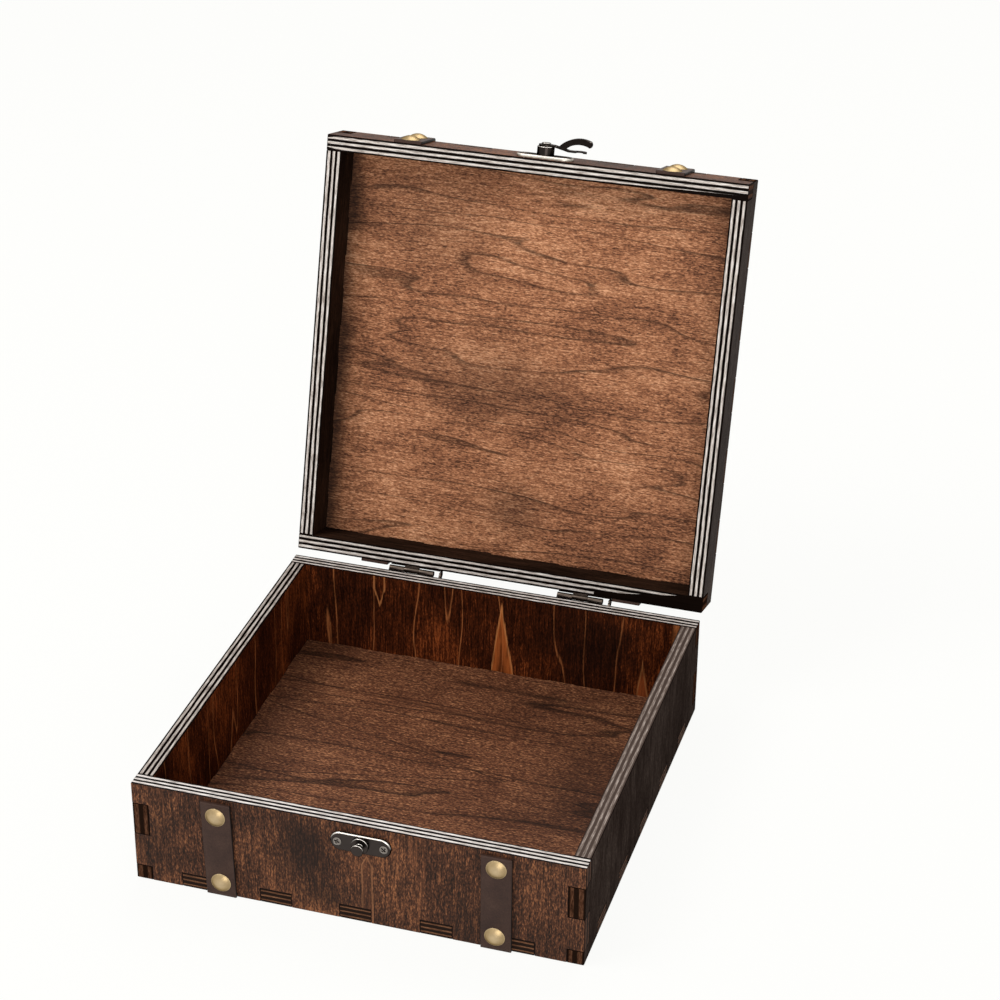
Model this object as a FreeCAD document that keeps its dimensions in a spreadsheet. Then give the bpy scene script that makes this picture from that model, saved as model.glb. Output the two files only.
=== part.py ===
"""Keepsake box of finger-jointed plywood with leather straps, a hinged lid and a swinging hook latch.

Millimetres. +Z is up, +X is to the right of someone facing the front, and the origin is the middle of
the underside. The lid stands open against the stops of its two hinges.
"""
import FreeCAD, Part
import os
import re

import Sketcher

Vector = FreeCAD.Vector

SIZES = [
    ("box_width", 254.0, "outside width"),
    ("box_depth", 254.0, "outside depth"),
    ("base_height", 63.0, "underside to rim of the base"),
    ("lid_height", 27.0, "rim to outer face of the lid"),
    ("board", 9.4, "thickness of the wall boards"),
    ("floor_board", 9.0, "thickness of the bottom board"),
    ("lid_board", 4.8, "thickness of the lid's top board"),
    ("foot_finger", 9.0, "lowest corner finger of the base"),
    ("lower_finger", 21.0, "second corner finger of the base"),
    ("rim_finger", 13.0, "corner finger at the rim of the base"),
    ("lid_finger", 13.5, "corner finger at the rim of the lid"),
    ("tab_width", 18.0, "tabs of the bottom board"),
    ("tab_pitch", 45.5, "spacing of the tabs of the bottom board"),
    ("lid_tab_width", 21.0, "tabs of the lid's top board"),
    ("lid_tab_pitch", 43.0, "spacing of the tabs of the lid's top board"),
    ("rim_gap", 0.4, "gap between the rims of the closed box"),
    ("lid_open", 106.1, "angle at which the hinge stops hold the lid"),
    ("pivot_out", 2.7, "hinge pin behind the back wall"),
    ("pivot_up", 0.2, "hinge pin above the rim of the base"),
    ("strap_width", 17.0, "width of the leather straps"),
    ("strap_leather", 1.8, "thickness of the leather"),
    ("left_strap", 78.0, "middle of the box to the front's left strap"),
    ("right_strap", 79.1, "middle of the box to the front's right strap"),
    ("strap_lean", 1.5, "lean of the left strap's foot to the right"),
    ("strap_drop", 2.5, "rim to the end of a base strap"),
    ("strap_foot", 0.4, "underside to the end of a base strap"),
    ("lid_strap_spread", 79.0, "half the distance between the lid's straps"),
    ("lid_strap_shift", 1.7, "lid's straps off centre"),
    ("lid_strap_end", 0.5, "rim of the lid to the end of its straps"),
    ("rivet_head", 11.5, "diameter of the domed rivets"),
    ("rivet_rise", 2.4, "height of the domed rivets"),
    ("rivet_lip", 0.4, "height of the dome's edge"),
    ("rivet_slope", 3.2, "dome's edge in to its flat crown"),
    ("rivet_shank", 2.0, "side of the rivets' square shanks"),
    ("rivet_length", 7.0, "shank under the head"),
    ("rivet_drop", 11.0, "rim to the upper rivets of the base"),
    ("rivet_foot", 9.0, "underside to the lower rivets of the front"),
    ("rivet_lift", 1.2, "right strap's upper rivet above the left one"),
    ("rivet_slip", 0.6, "right strap's lower rivet left of its middle"),
    ("back_rivet_foot", 11.0, "underside to the lower rivets of the back"),
    ("lid_rivet_low", 6.0, "rim of the lid to its lower rivets"),
    ("lid_rivet_high", 20.5, "rim of the lid to its upper rivets"),
    ("lid_rivet_middle", 13.5, "rim of the lid to the rivets of its back"),
    ("plate_length", 34.0, "length of the latch and catch plates"),
    ("plate_width", 11.5, "height of the latch and catch plates"),
    ("plate_metal", 1.7, "thickness of the latch and catch plates"),
    ("plate_edge", 0.5, "bevelled edge of the plates"),
    ("latch_shift", 4.2, "latch and catch right of the middle"),
    ("catch_drop", 11.0, "rim of the base to the knob"),
    ("latch_rise", 9.0, "rim of the lid to the pivot of the hook"),
    ("screw_spread", 13.0, "middle of a plate to its screws"),
    ("screw_head", 4.8, "diameter of the plate screws"),
    ("screw_neck", 2.3, "small end of a countersink"),
    ("screw_shank", 1.3, "side of the plate screws' shanks"),
    ("screw_length", 8.0, "length of the plate screws"),
    ("collar_width", 9.7, "diameter of the collar under the knob"),
    ("collar_rise", 1.4, "height of that collar"),
    ("knob_neck", 3.4, "neck that the hook catches"),
    ("knob_head", 7.0, "diameter of the knob"),
    ("knob_head_rise", 1.0, "thickness of the knob's head"),
    ("hub_width", 10.2, "diameter of the hub that carries the hook"),
    ("post_head", 5.4, "head that holds the hook"),
    ("post_head_rise", 0.8, "height of that head"),
    ("hook_metal", 1.1, "thickness of the hook"),
    ("hook_plane", 5.0, "wall to the back of the claw"),
    ("hook_joggle", 2.0, "step from the claw out to the eye"),
    ("joggle_start", 5.0, "pivot to the start of the step"),
    ("joggle_end", 14.0, "pivot to the end of the step"),
    ("hook_play", 0.1, "end play of the hook on its post"),
    ("hook_eye", 8.6, "diameter of the hook's eye"),
    ("hook_bore", 3.4, "bore of the hook's eye"),
    ("hook_arm", 4.4, "width of the hook's arm"),
    ("hook_claw", 8.2, "outside diameter of the claw"),
    ("hook_throat", 4.0, "inside diameter of the claw"),
    ("claw_tip", 0.8, "knob's axis to the end of the claw"),
    ("horn_root", 7.5, "pivot to the finger horn's outer root"),
    ("horn_crotch", 11.5, "pivot to the finger horn's inner root"),
    ("horn_root_lift", 2.0, "claw's back to the outer root"),
    ("horn_crotch_lift", 1.2, "claw's back to the inner root"),
    ("horn_over", 6.1, "reach of the finger horn past the knob's axis"),
    ("horn_tip_lift", 7.3, "claw's back to the outer corner of the tip"),
    ("horn_tip", 3.7, "thickness of the tip"),
    ("horn_nose", 24.9, "pivot to the middle of the rounded tip"),
    ("horn_crown", 20.5, "pivot to the crown of the outer arch"),
    ("horn_hollow", 20.7, "pivot to the crown of the inner arch"),
    ("horn_width", 4.2, "width of the finger horn"),
    ("hinge_spread", 53.0, "middle of the box to the hinge barrels"),
    ("barrel_length", 28.0, "length of a hinge barrel"),
    ("barrel_width", 3.4, "diameter of a hinge barrel"),
    ("knuckle_gap", 0.2, "gap between knuckles"),
    ("pin_width", 1.6, "diameter of the hinge pin"),
    ("pin_clearance", 0.05, "running clearance round a pin or post"),
    ("leaf_height", 14.0, "hinge pin to the far edge of a leaf"),
    ("leaf_metal", 1.2, "thickness of the leaves"),
    ("leaf_relief", 2.2, "cut-back of a leaf beside the other's knuckles"),
    ("leaf_corner", 1.5, "rounded corners of the leaves"),
    ("stop_out", 17.5, "middle of the barrel to the stop"),
    ("stop_metal", 1.2, "thickness of the stop"),
    ("stop_reach", 6.3, "back wall to the tip of the stop"),
    ("stop_foot", 6.0, "hinge pin to the foot of the stop"),
    ("stop_gap", 0.15, "clearance between stop and lid leaf"),
    ("leaf_screw_head", 4.0, "diameter of the hinge screws"),
    ("leaf_screw_slope", 0.7, "their edge in to their flat top"),
    ("leaf_screw_rise", 0.9, "height of their heads"),
    ("leaf_screw_shank", 1.3, "side of their shanks"),
    ("leaf_screw_length", 7.5, "shank under the head"),
    ("leaf_screw_spread", 9.0, "middle of the barrel to the hinge screws"),
    ("leaf_screw_reach", 8.5, "hinge pin to the hinge screws"),
    ("fastener_clearance", 0.05, "clearance round a shank"),
    ("fastener_end", 0.4, "hole past the tip of a shank"),
]
TABS = 5
KNUCKLES = 3
HEAD_SIDES = 24

doc = FreeCAD.newDocument("KeepsakeBox")
sheet = doc.addObject("Spreadsheet::Sheet", "Sizes")
for row, (alias, value, note) in enumerate(SIZES, start=1):
    sheet.set(f"A{row}", alias)
    sheet.set(f"B{row}", str(value))
    sheet.set(f"C{row}", note)
    sheet.setAlias(f"B{row}", alias)
doc.recompute()

ALIASES = {alias for alias, value, note in SIZES}
pieces = {}


def sized(text):
    """The expression with each size's name pointed at the sheet."""
    return re.sub(r"[a-z_]+", lambda word: "Sizes." * (word.group() in ALIASES) + word.group(), text)


def size(text):
    """The expression's present value."""
    return float(sheet.evalExpression(sized(text)))


def bind(thing, **links):
    """Ties properties of a feature to expressions of the sizes."""
    for name, text in links.items():
        thing.setExpression(name, sized(text))


def plane_of(body, role):
    """One of the body's own origin planes."""
    return next(feature for feature in body.Origin.OriginFeatures if feature.Role == role)


def new_body(label, place):
    """An empty body at a placement expression."""
    body = doc.addObject("PartDesign::Body", label)
    body.Label = label
    bind(body, Placement=place)
    return body


def new_sketch(body, name, role, offset="0"):
    """A sketch on one of the body's origin planes, shifted along the plane's normal."""
    sketch = body.newObject("Sketcher::SketchObject", name)
    sketch.AttachmentSupport = [(plane_of(body, role), "")]
    sketch.MapMode = "FlatFace"
    sketch.setExpression(".AttachmentOffset.Base.z", sized(offset))
    return sketch


def fix_point(sketch, item, end, across, up):
    """Dimensions one point of a sketch from the sketch's origin."""
    for kind, text in (("DistanceX", across), ("DistanceY", up)):
        index = sketch.addConstraint(Sketcher.Constraint(kind, -1, 1, item, end, size(text)))
        sketch.setExpression(f"Constraints[{index}]", sized(text))


def arc_centre(first, last, along, level):
    """Where the centre lies of an arc between two points, given its x or its y."""
    middle = (first + last) * 0.5
    run = last - first
    if along == "x":
        return Vector(level, middle.y - (level - middle.x) * run.x / run.y, 0)
    return Vector(middle.x - (level - middle.y) * run.y / run.x, level, 0)


def outline(sketch, corners, rounds=None, hollows=()):
    """Adds a closed outline. Corners are pairs of expressions, anticlockwise. Rounds gives, for an edge
    that is an arc, which coordinate of its centre is set and by what expression. Hollows are the arcs
    that bend inwards."""
    rounds = rounds or {}
    points = [Vector(size(across), size(up), 0) for across, up in corners]
    offset = sketch.GeometryCount
    starts = {}
    for index, first in enumerate(points):
        last = points[(index + 1) % len(points)]
        edge = offset + index
        starts[index] = 1
        if index in rounds:
            along, text = rounds[index]
            centre = arc_centre(first, last, along, size(text))
            bulge = Vector(last.y - first.y, first.x - last.x, 0).normalize() * (first - centre).Length
            if index in hollows:
                starts[index] = 2
                sketch.addGeometry(Part.Arc(last, centre - bulge, first), False)
            else:
                sketch.addGeometry(Part.Arc(first, centre + bulge, last), False)
        else:
            sketch.addGeometry(Part.LineSegment(first, last), False)
    for index in range(len(points)):
        after = (index + 1) % len(points)
        edge = offset + index
        link = Sketcher.Constraint("Coincident", edge, 3 - starts[index], offset + after, starts[after])
        sketch.addConstraint(link)
        fix_point(sketch, edge, starts[index], *corners[index])
        if index in rounds:
            along, text = rounds[index]
            kind = "DistanceX" if along == "x" else "DistanceY"
            place = sketch.addConstraint(Sketcher.Constraint(kind, -1, 1, edge, 3, size(text)))
            sketch.setExpression(f"Constraints[{place}]", sized(text))


def squares(sketch, holes):
    """Squares at (across, up, side) expressions."""
    for across, up, side in holes:
        low, high = f"{up} - ({side}) / 2", f"{up} + ({side}) / 2"
        left, right = f"{across} - ({side}) / 2", f"{across} + ({side}) / 2"
        outline(sketch, [(left, low), (right, low), (right, high), (left, high)])


def circles(sketch, holes):
    """Circles at (across, up, diameter) expressions."""
    for index, (across, up, diameter) in enumerate(holes):
        centre = Vector(size(across), size(up), 0)
        sketch.addGeometry(Part.Circle(centre, Vector(0, 0, 1), size(diameter) / 2), False)
        fix_point(sketch, index, 3, across, up)
        wide = sketch.addConstraint(Sketcher.Constraint("Diameter", index, size(diameter)))
        sketch.setExpression(f"Constraints[{wide}]", sized(diameter))


def pad(body, sketch, length, backwards=False, both_ways=False):
    """Extrudes a sketch of the body."""
    feature = body.newObject("PartDesign::Pad", "Pad")
    feature.Profile = sketch
    feature.Reversed = backwards
    feature.Midplane = both_ways
    bind(feature, Length=length)
    body.Tip = feature
    return feature


def pocket(body, sketch, depth=None, backwards=False):
    """Cuts a sketch out of the body, to a depth or right through both ways."""
    before = body.Tip
    feature = body.newObject("PartDesign::Pocket", "Pocket")
    feature.Profile = sketch
    feature.Reversed = backwards
    if depth is None:
        feature.Type = "ThroughAll"
        feature.Midplane = True
    else:
        bind(feature, Length=depth)
    body.Tip = feature
    doc.recompute()
    if not before.Shape.Volume - feature.Shape.Volume > 0.1:
        raise RuntimeError(f"{body.Label}: the pocket cuts nothing")
    return feature


def edges_where(feature, test):
    """Names of the feature's edges whose both ends and middle pass the test."""
    names = []
    for index, edge in enumerate(feature.Shape.Edges, start=1):
        middle = edge.valueAt((edge.FirstParameter + edge.LastParameter) / 2)
        if all(test(spot) for spot in [vertex.Point for vertex in edge.Vertexes] + [middle]):
            names.append(f"Edge{index}")
    return names


def finish_edges(body, kind, amount, test, inset=None):
    """Rounds or chamfers the edges of the body's tip that pass the test. With an inset, the chamfer takes
    the amount off the side and the inset off the end face."""
    doc.recompute()
    base = body.Tip
    names = edges_where(base, test)
    feature = body.newObject(f"PartDesign::{kind}", kind)
    feature.Base = (base, names)
    bind(feature, **{"Radius" if kind == "Fillet" else "Size": amount})
    if inset:
        feature.ChamferType = "Two distances"
        bind(feature, Size2=inset)
    body.Tip = feature
    return feature


# ---- Where things go --------------------------------------------------------------------------------
STRAIGHT = "rotation(vector(0; 0; 1); 0)"
ABOUT = "rotation(vector(0; 0; 1); 180)"
LATHE_TO_FRONT = "rotation(vector(1; 0; 0); 90)"
LATHE_TO_BACK = "rotation(vector(1; 0; 0); -90)"
LATHE_TO_SIDE = "rotation(vector(0; 1; 0); 90)"
FRONT = "-box_depth / 2"
BACK = "box_depth / 2"
PIVOT_HEIGHT = "base_height + pivot_up"
PIVOT_DEPTH = "box_depth / 2 + pivot_out"
OPENED = f"placement(vector(0; {PIVOT_DEPTH}; {PIVOT_HEIGHT}); rotation(vector(-1; 0; 0); lid_open))"
HOOK_REACH = "catch_drop + rim_gap + latch_rise"


def at(across, along, up, turn=STRAIGHT):
    """A placement in the base."""
    return f"placement(vector({across}; {along}; {up}); {turn})"


def in_lid(across, along, above_rim, turn=STRAIGHT):
    """A placement in the opened lid, given where the closed lid would have it."""
    shut = f"vector({across}; {along} - ({PIVOT_DEPTH}); {above_rim} + rim_gap - pivot_up)"
    return f"{OPENED} * placement({shut}; {turn})"


# ---- Plywood boards ---------------------------------------------------------------------------------
def teeth(centre, pitch, width, root, tip):
    """A run of tabs or notches along an edge, as corners from its start to its end."""
    corners = []
    for step in range(TABS):
        middle = f"{centre} + {step - (TABS - 1) / 2} * {pitch}"
        for side, level in (("-", root), ("-", tip), ("+", tip), ("+", root)):
            corners.append((f"{middle} {side} {width} / 2", level))
    return corners


def wall_outline(length, height, levels, cut_first, notches):
    """Outline of a wall: notches for the floor's tabs along edge zero, and fingers up both ends."""
    bounds = ["0"] + levels + [height]
    right = []
    left = []
    for step in range(len(bounds) - 1):
        cut = (step % 2 == 0) == cut_first
        inset = "board" if cut else "0"
        for level in bounds[step : step + 2]:
            right.append((f"{length} - {inset}", level))
            left.append((inset, level))
    return [left[0]] + notches + right + left[:0:-1]


def floor_outline(tab_pitch, tab_width):
    """Outline of a floor or top board whose tabs reach the outside of all four walls."""
    near = teeth("box_width / 2", tab_pitch, tab_width, "board", "0")
    side = teeth("box_depth / 2", tab_pitch, tab_width, "board", "0")
    right = [(f"box_width - {level}", along) for along, level in side]
    far = [(along, f"box_depth - {level}") for along, level in near[::-1]]
    left = [(level, along) for along, level in side[::-1]]
    corners = [("board", "board"), ("box_width - board", "board")]
    corners += [("box_width - board", "box_depth - board"), ("board", "box_depth - board")]
    return [corners[0]] + near + [corners[1]] + right + [corners[2]] + far + [corners[3]] + left


def wall(label, place, role, corners, holes=(), outside=False):
    """A wall board. Its sketch lies on its outer face where it has holes for fasteners."""
    body = new_body(label, place)
    shape = new_sketch(body, "Outline", role)
    outline(shape, corners)
    pad(body, shape, "board", backwards=outside)
    for side, depth, spots in holes:
        punched = new_sketch(body, "Holes", role)
        squares(punched, [(across, up, side) for across, up in spots])
        pocket(body, punched, depth, backwards=not outside)
    pieces[label] = body
    return body


BASE_LEVELS = ["foot_finger", "foot_finger + lower_finger", "base_height - rim_finger"]
LID_LEVELS = ["lid_height - lid_finger"]
RIVET_TOP = "base_height - rivet_drop"
FRONT_STRAPS = {
    "left": ("-left_strap", "strap_lean", [("0", RIVET_TOP), ("strap_lean", "rivet_foot")]),
    "right": ("right_strap", "0", [("0", f"{RIVET_TOP} + rivet_lift"), ("-rivet_slip", "rivet_foot")]),
}
FRONT_RIVETS = [
    (f"{spot} + {across}", up) for spot, lean, rivets in FRONT_STRAPS.values() for across, up in rivets
]
STRAP_SPOTS = {"left": "lid_strap_shift - lid_strap_spread", "right": "lid_strap_shift + lid_strap_spread"}
BACK_RIVETS = [f"box_width / 2 + {spot}" for spot in STRAP_SPOTS.values()]
RIVET_HOLE = ("rivet_shank + 2 * fastener_clearance", "rivet_length - strap_leather + fastener_end")
PLATE_HOLE = ("screw_shank + 2 * fastener_clearance", "screw_length - plate_metal + fastener_end")
LEAF_HOLE = ("leaf_screw_shank + 2 * fastener_clearance", "leaf_screw_length - leaf_metal + fastener_end")
LATCH = "latch_shift"
PLATE_SPOTS = ["-screw_spread", "screw_spread"]
HINGE_SPOTS = {"left": "-hinge_spread", "right": "hinge_spread"}
LEAF_SCREWS = [("-leaf_screw_spread", "leaf_screw_reach"), ("leaf_screw_spread", "leaf_screw_reach")]
BACK_RIVET_HEIGHTS = [RIVET_TOP, "back_rivet_foot"]
LID_RIVET_HEIGHTS = ["lid_rivet_low", "lid_rivet_high"]

front_notches = teeth("box_width / 2", "tab_pitch", "tab_width", "0", "floor_board")
side_notches = teeth("box_depth / 2", "tab_pitch", "tab_width", "0", "floor_board")
front_corners = wall_outline("box_width", "base_height", BASE_LEVELS, True, front_notches)
side_corners = wall_outline("box_depth", "base_height", BASE_LEVELS, False, side_notches)
catch_height = "base_height - catch_drop"
wall(
    "base_front",
    at("-box_width / 2", FRONT, "0"),
    "XZ_Plane",
    front_corners,
    holes=[
        (*RIVET_HOLE, [(f"box_width / 2 + {across}", up) for across, up in FRONT_RIVETS]),
        (*PLATE_HOLE, [(f"box_width / 2 + {LATCH} + {spot}", catch_height) for spot in PLATE_SPOTS]),
    ],
    outside=True,
)
wall(
    "base_back",
    at("-box_width / 2", BACK, "0"),
    "XZ_Plane",
    front_corners,
    holes=[
        (*RIVET_HOLE, [(across, up) for across in BACK_RIVETS for up in BACK_RIVET_HEIGHTS]),
        (
            *LEAF_HOLE,
            [
                (f"box_width / 2 + {spot} + {across}", f"{PIVOT_HEIGHT} - {down}")
                for spot in HINGE_SPOTS.values()
                for across, down in LEAF_SCREWS
            ],
        ),
    ],
)
wall("base_left", at("-box_width / 2", FRONT, "0"), "YZ_Plane", side_corners)
wall("base_right", at("box_width / 2 - board", FRONT, "0"), "YZ_Plane", side_corners)

bottom = new_body("base_bottom", at("-box_width / 2", FRONT, "0"))
bottom_sketch = new_sketch(bottom, "Outline", "XY_Plane")
outline(bottom_sketch, floor_outline("tab_pitch", "tab_width"))
pad(bottom, bottom_sketch, "floor_board")
pieces["base_bottom"] = bottom


def hung(corners):
    """The same outline measured down from the lid's outer face instead of up from edge zero."""
    return [(across, f"lid_height - ({up})") for across, up in corners][::-1]


lid_front_notches = teeth("box_width / 2", "lid_tab_pitch", "lid_tab_width", "0", "lid_board")
lid_side_notches = teeth("box_depth / 2", "lid_tab_pitch", "lid_tab_width", "0", "lid_board")
lid_front_corners = hung(wall_outline("box_width", "lid_height", LID_LEVELS, True, lid_front_notches))
lid_side_corners = hung(wall_outline("box_depth", "lid_height", LID_LEVELS, False, lid_side_notches))
wall(
    "lid_front",
    in_lid("-box_width / 2", FRONT, "0"),
    "XZ_Plane",
    lid_front_corners,
    holes=[
        (*RIVET_HOLE, [(across, up) for across in BACK_RIVETS for up in LID_RIVET_HEIGHTS]),
        (*PLATE_HOLE, [(f"box_width / 2 + {LATCH} + {spot}", "latch_rise") for spot in PLATE_SPOTS]),
    ],
    outside=True,
)
wall(
    "lid_back",
    in_lid("-box_width / 2", BACK, "0"),
    "XZ_Plane",
    lid_front_corners,
    holes=[
        (*RIVET_HOLE, [(across, "lid_rivet_middle") for across in BACK_RIVETS]),
        (
            *LEAF_HOLE,
            [
                (f"box_width / 2 + {spot} + {across}", f"pivot_up - rim_gap + {up}")
                for spot in HINGE_SPOTS.values()
                for across, up in LEAF_SCREWS
            ],
        ),
    ],
)
wall("lid_left", in_lid("-box_width / 2", FRONT, "0"), "YZ_Plane", lid_side_corners)
wall("lid_right", in_lid("box_width / 2 - board", FRONT, "0"), "YZ_Plane", lid_side_corners)

panel = new_body("lid_panel", in_lid("-box_width / 2", FRONT, "lid_height - lid_board"))
panel_sketch = new_sketch(panel, "Outline", "XY_Plane")
outline(panel_sketch, floor_outline("lid_tab_pitch", "lid_tab_width"))
pad(panel, panel_sketch, "lid_board")
pieces["lid_panel"] = panel


# ---- Leather straps ---------------------------------------------------------------------------------
def base_strap(label, place, rivets, lean="0"):
    """A flat strap riveted to a wall of the base, its leather towards -Y and its foot leaning to +X."""
    body = new_body(label, place)
    top = "base_height - strap_drop"
    sheet_of_leather = new_sketch(body, "Outline", "XZ_Plane")
    corners = [(f"{lean} - strap_width / 2", "strap_foot"), (f"{lean} + strap_width / 2", "strap_foot")]
    corners += [("strap_width / 2", top), ("-strap_width / 2", top)]
    outline(sheet_of_leather, corners)
    pad(body, sheet_of_leather, "strap_leather")
    punched = new_sketch(body, "Holes", "XZ_Plane")
    squares(punched, [(across, up, RIVET_HOLE[0]) for across, up in rivets])
    pocket(body, punched)
    pieces[label] = body


def lid_strap(label, place):
    """A strap that runs up the front of the lid, over its top and down its back."""
    body = new_body(label, place)
    side = new_sketch(body, "Side", "YZ_Plane")
    far = "strap_leather + box_depth"
    outside = "2 * strap_leather + box_depth"
    over = "lid_height + strap_leather"
    corners = [("0", "lid_strap_end"), ("strap_leather", "lid_strap_end"), ("strap_leather", "lid_height")]
    corners += [(far, "lid_height"), (far, "lid_strap_end"), (outside, "lid_strap_end")]
    corners += [(outside, "lid_height"), (far, over), ("strap_leather", over), ("0", "lid_height")]
    outline(side, corners, rounds={6: ("x", far), 8: ("x", "strap_leather")})
    pad(body, side, "strap_width", both_ways=True)
    front_holes = new_sketch(body, "FrontHoles", "XZ_Plane")
    squares(front_holes, [("0", up, RIVET_HOLE[0]) for up in LID_RIVET_HEIGHTS])
    pocket(body, front_holes, "strap_leather")
    back_holes = new_sketch(body, "BackHoles", "XZ_Plane", f"-({outside})")
    squares(back_holes, [("0", "lid_rivet_middle", RIVET_HOLE[0])])
    pocket(body, back_holes, "strap_leather", backwards=True)
    pieces[label] = body


back_rivets = [("0", up) for up in BACK_RIVET_HEIGHTS]
for side, (spot, lean, rivets) in FRONT_STRAPS.items():
    base_strap(f"base_strap_front_{side}", at(spot, FRONT, "0"), rivets, lean)
    base_strap(f"base_strap_back_{side}", at(STRAP_SPOTS[side], BACK, "0", ABOUT), back_rivets)
    lid_strap(f"lid_strap_{side}", in_lid(STRAP_SPOTS[side], f"{FRONT} - strap_leather", "0"))


# ---- Turned pieces: rivets, screws, the knob, the hook's post and the hinge pins ---------------------
def turned(label, corners, place=None):
    """A piece turned about +Z. Corners are (radius, height) expressions."""
    body = new_body(label, place or at("0", "0", "0"))
    profile = new_sketch(body, "Profile", "XZ_Plane")
    outline(profile, corners)
    feature = body.newObject("PartDesign::Revolution", "Revolution")
    feature.Profile = profile
    feature.ReferenceAxis = (profile, ["V_Axis"])
    feature.Angle = 360
    body.Tip = feature
    return body


def headed(label, wide, tall, bevel, inset, side, length, sunk=False):
    """A fastener: a many-sided head, bevelled at its far end, on a square shank down to -length. A sunk
    head lies below the plane and narrows downwards."""
    body = new_body(label, at("0", "0", "0"))
    face = new_sketch(body, "Face", "XY_Plane")
    turns = [f"({(step + 0.5) * 360 / HEAD_SIDES} * 1 deg)" for step in range(HEAD_SIDES)]
    outline(face, [(f"{wide} / 2 * cos{turn}", f"{wide} / 2 * sin{turn}") for turn in turns])
    pad(body, face, tall, backwards=sunk)
    end = -size(tall) if sunk else size(tall)
    finish_edges(body, "Chamfer", bevel, lambda spot: abs(spot.z - end) < 1e-6, inset)
    shank = new_sketch(body, "Shank", "XY_Plane")
    squares(shank, [("0", "0", side)])
    pad(body, shank, length, backwards=True)
    return body


rivet = headed(
    "rivet", "rivet_head", "rivet_rise", "rivet_rise - rivet_lip", "rivet_slope", "rivet_shank", "rivet_length"
)
leaf_screw = headed(
    "leaf_screw",
    "leaf_screw_head",
    "leaf_screw_rise",
    "leaf_screw_rise / 2",
    "leaf_screw_slope",
    "leaf_screw_shank",
    "leaf_screw_length",
)
plate_screw = headed(
    "plate_screw",
    "screw_head",
    "plate_metal",
    "plate_metal - fastener_clearance / 2",
    "(screw_head - screw_neck) / 2",
    "screw_shank",
    "screw_length",
    sunk=True,
)


def fasteners(label, pattern, places):
    """Like fasteners as one group of separate solids."""
    links = []
    for place in places:
        link = doc.addObject("App::Link", f"{label}_{len(links) + 1}")
        link.LinkedObject = pattern
        bind(link, Placement=place)
        links.append(link)
    group = doc.addObject("Part::Compound", label)
    group.Label = label
    group.Links = links
    pieces[label] = group


fasteners(
    "base_rivets_front",
    rivet,
    [at(across, f"{FRONT} - strap_leather", up, LATHE_TO_FRONT) for across, up in FRONT_RIVETS],
)
fasteners(
    "base_rivets_back",
    rivet,
    [
        at(spot, f"{BACK} + strap_leather", up, LATHE_TO_BACK)
        for spot in STRAP_SPOTS.values()
        for up in BACK_RIVET_HEIGHTS
    ],
)
fasteners(
    "lid_rivets_front",
    rivet,
    [
        in_lid(spot, f"{FRONT} - strap_leather", up, LATHE_TO_FRONT)
        for spot in STRAP_SPOTS.values()
        for up in LID_RIVET_HEIGHTS
    ],
)
fasteners(
    "lid_rivets_back",
    rivet,
    [
        in_lid(spot, f"{BACK} + strap_leather", "lid_rivet_middle", LATHE_TO_BACK)
        for spot in STRAP_SPOTS.values()
    ],
)
fasteners(
    "catch_screws",
    plate_screw,
    [
        at(f"{LATCH} + {spot}", f"{FRONT} - plate_metal", catch_height, LATHE_TO_FRONT)
        for spot in PLATE_SPOTS
    ],
)
fasteners(
    "latch_screws",
    plate_screw,
    [
        in_lid(f"{LATCH} + {spot}", f"{FRONT} - plate_metal", "latch_rise", LATHE_TO_FRONT)
        for spot in PLATE_SPOTS
    ],
)
fasteners(
    "hinge_base_screws",
    leaf_screw,
    [
        at(f"{spot} + {across}", f"{BACK} + leaf_metal", f"{PIVOT_HEIGHT} - {down}", LATHE_TO_BACK)
        for spot in HINGE_SPOTS.values()
        for across, down in LEAF_SCREWS
    ],
)
fasteners(
    "hinge_lid_screws",
    leaf_screw,
    [
        in_lid(f"{spot} + {across}", f"{BACK} + leaf_metal", f"pivot_up - rim_gap + {up}", LATHE_TO_BACK)
        for spot in HINGE_SPOTS.values()
        for across, up in LEAF_SCREWS
    ],
)


# ---- Catch on the base and latch on the lid -----------------------------------------------------------
def face_plate(label, place):
    """A round-ended plate with a bevelled face and two countersunk screw holes."""
    body = new_body(label, place)
    half = "(plate_length - plate_width) / 2"
    stadium = new_sketch(body, "Outline", "XZ_Plane")
    corners = [(f"-{half}", "-plate_width / 2"), (half, "-plate_width / 2")]
    corners += [(half, "plate_width / 2"), (f"-{half}", "plate_width / 2")]
    outline(stadium, corners, rounds={1: ("x", half), 3: ("x", f"-{half}")})
    pad(body, stadium, "plate_metal")
    finish_edges(body, "Chamfer", "plate_edge", lambda spot: abs(spot.y + size("plate_metal")) < 1e-6)
    for spot in PLATE_SPOTS:
        sink = body.newObject("PartDesign::SubtractiveCone", "Countersink")
        bind(
            sink,
            Radius1="screw_neck / 2 + fastener_clearance",
            Radius2="screw_head / 2 + fastener_clearance",
            Height="plate_metal",
            Placement=at(spot, "0", "0", LATHE_TO_FRONT),
        )
        body.Tip = sink
    pieces[label] = body


face_plate("catch_plate", at(LATCH, FRONT, catch_height))
face_plate("latch_plate", in_lid(LATCH, FRONT, "latch_rise"))

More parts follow.
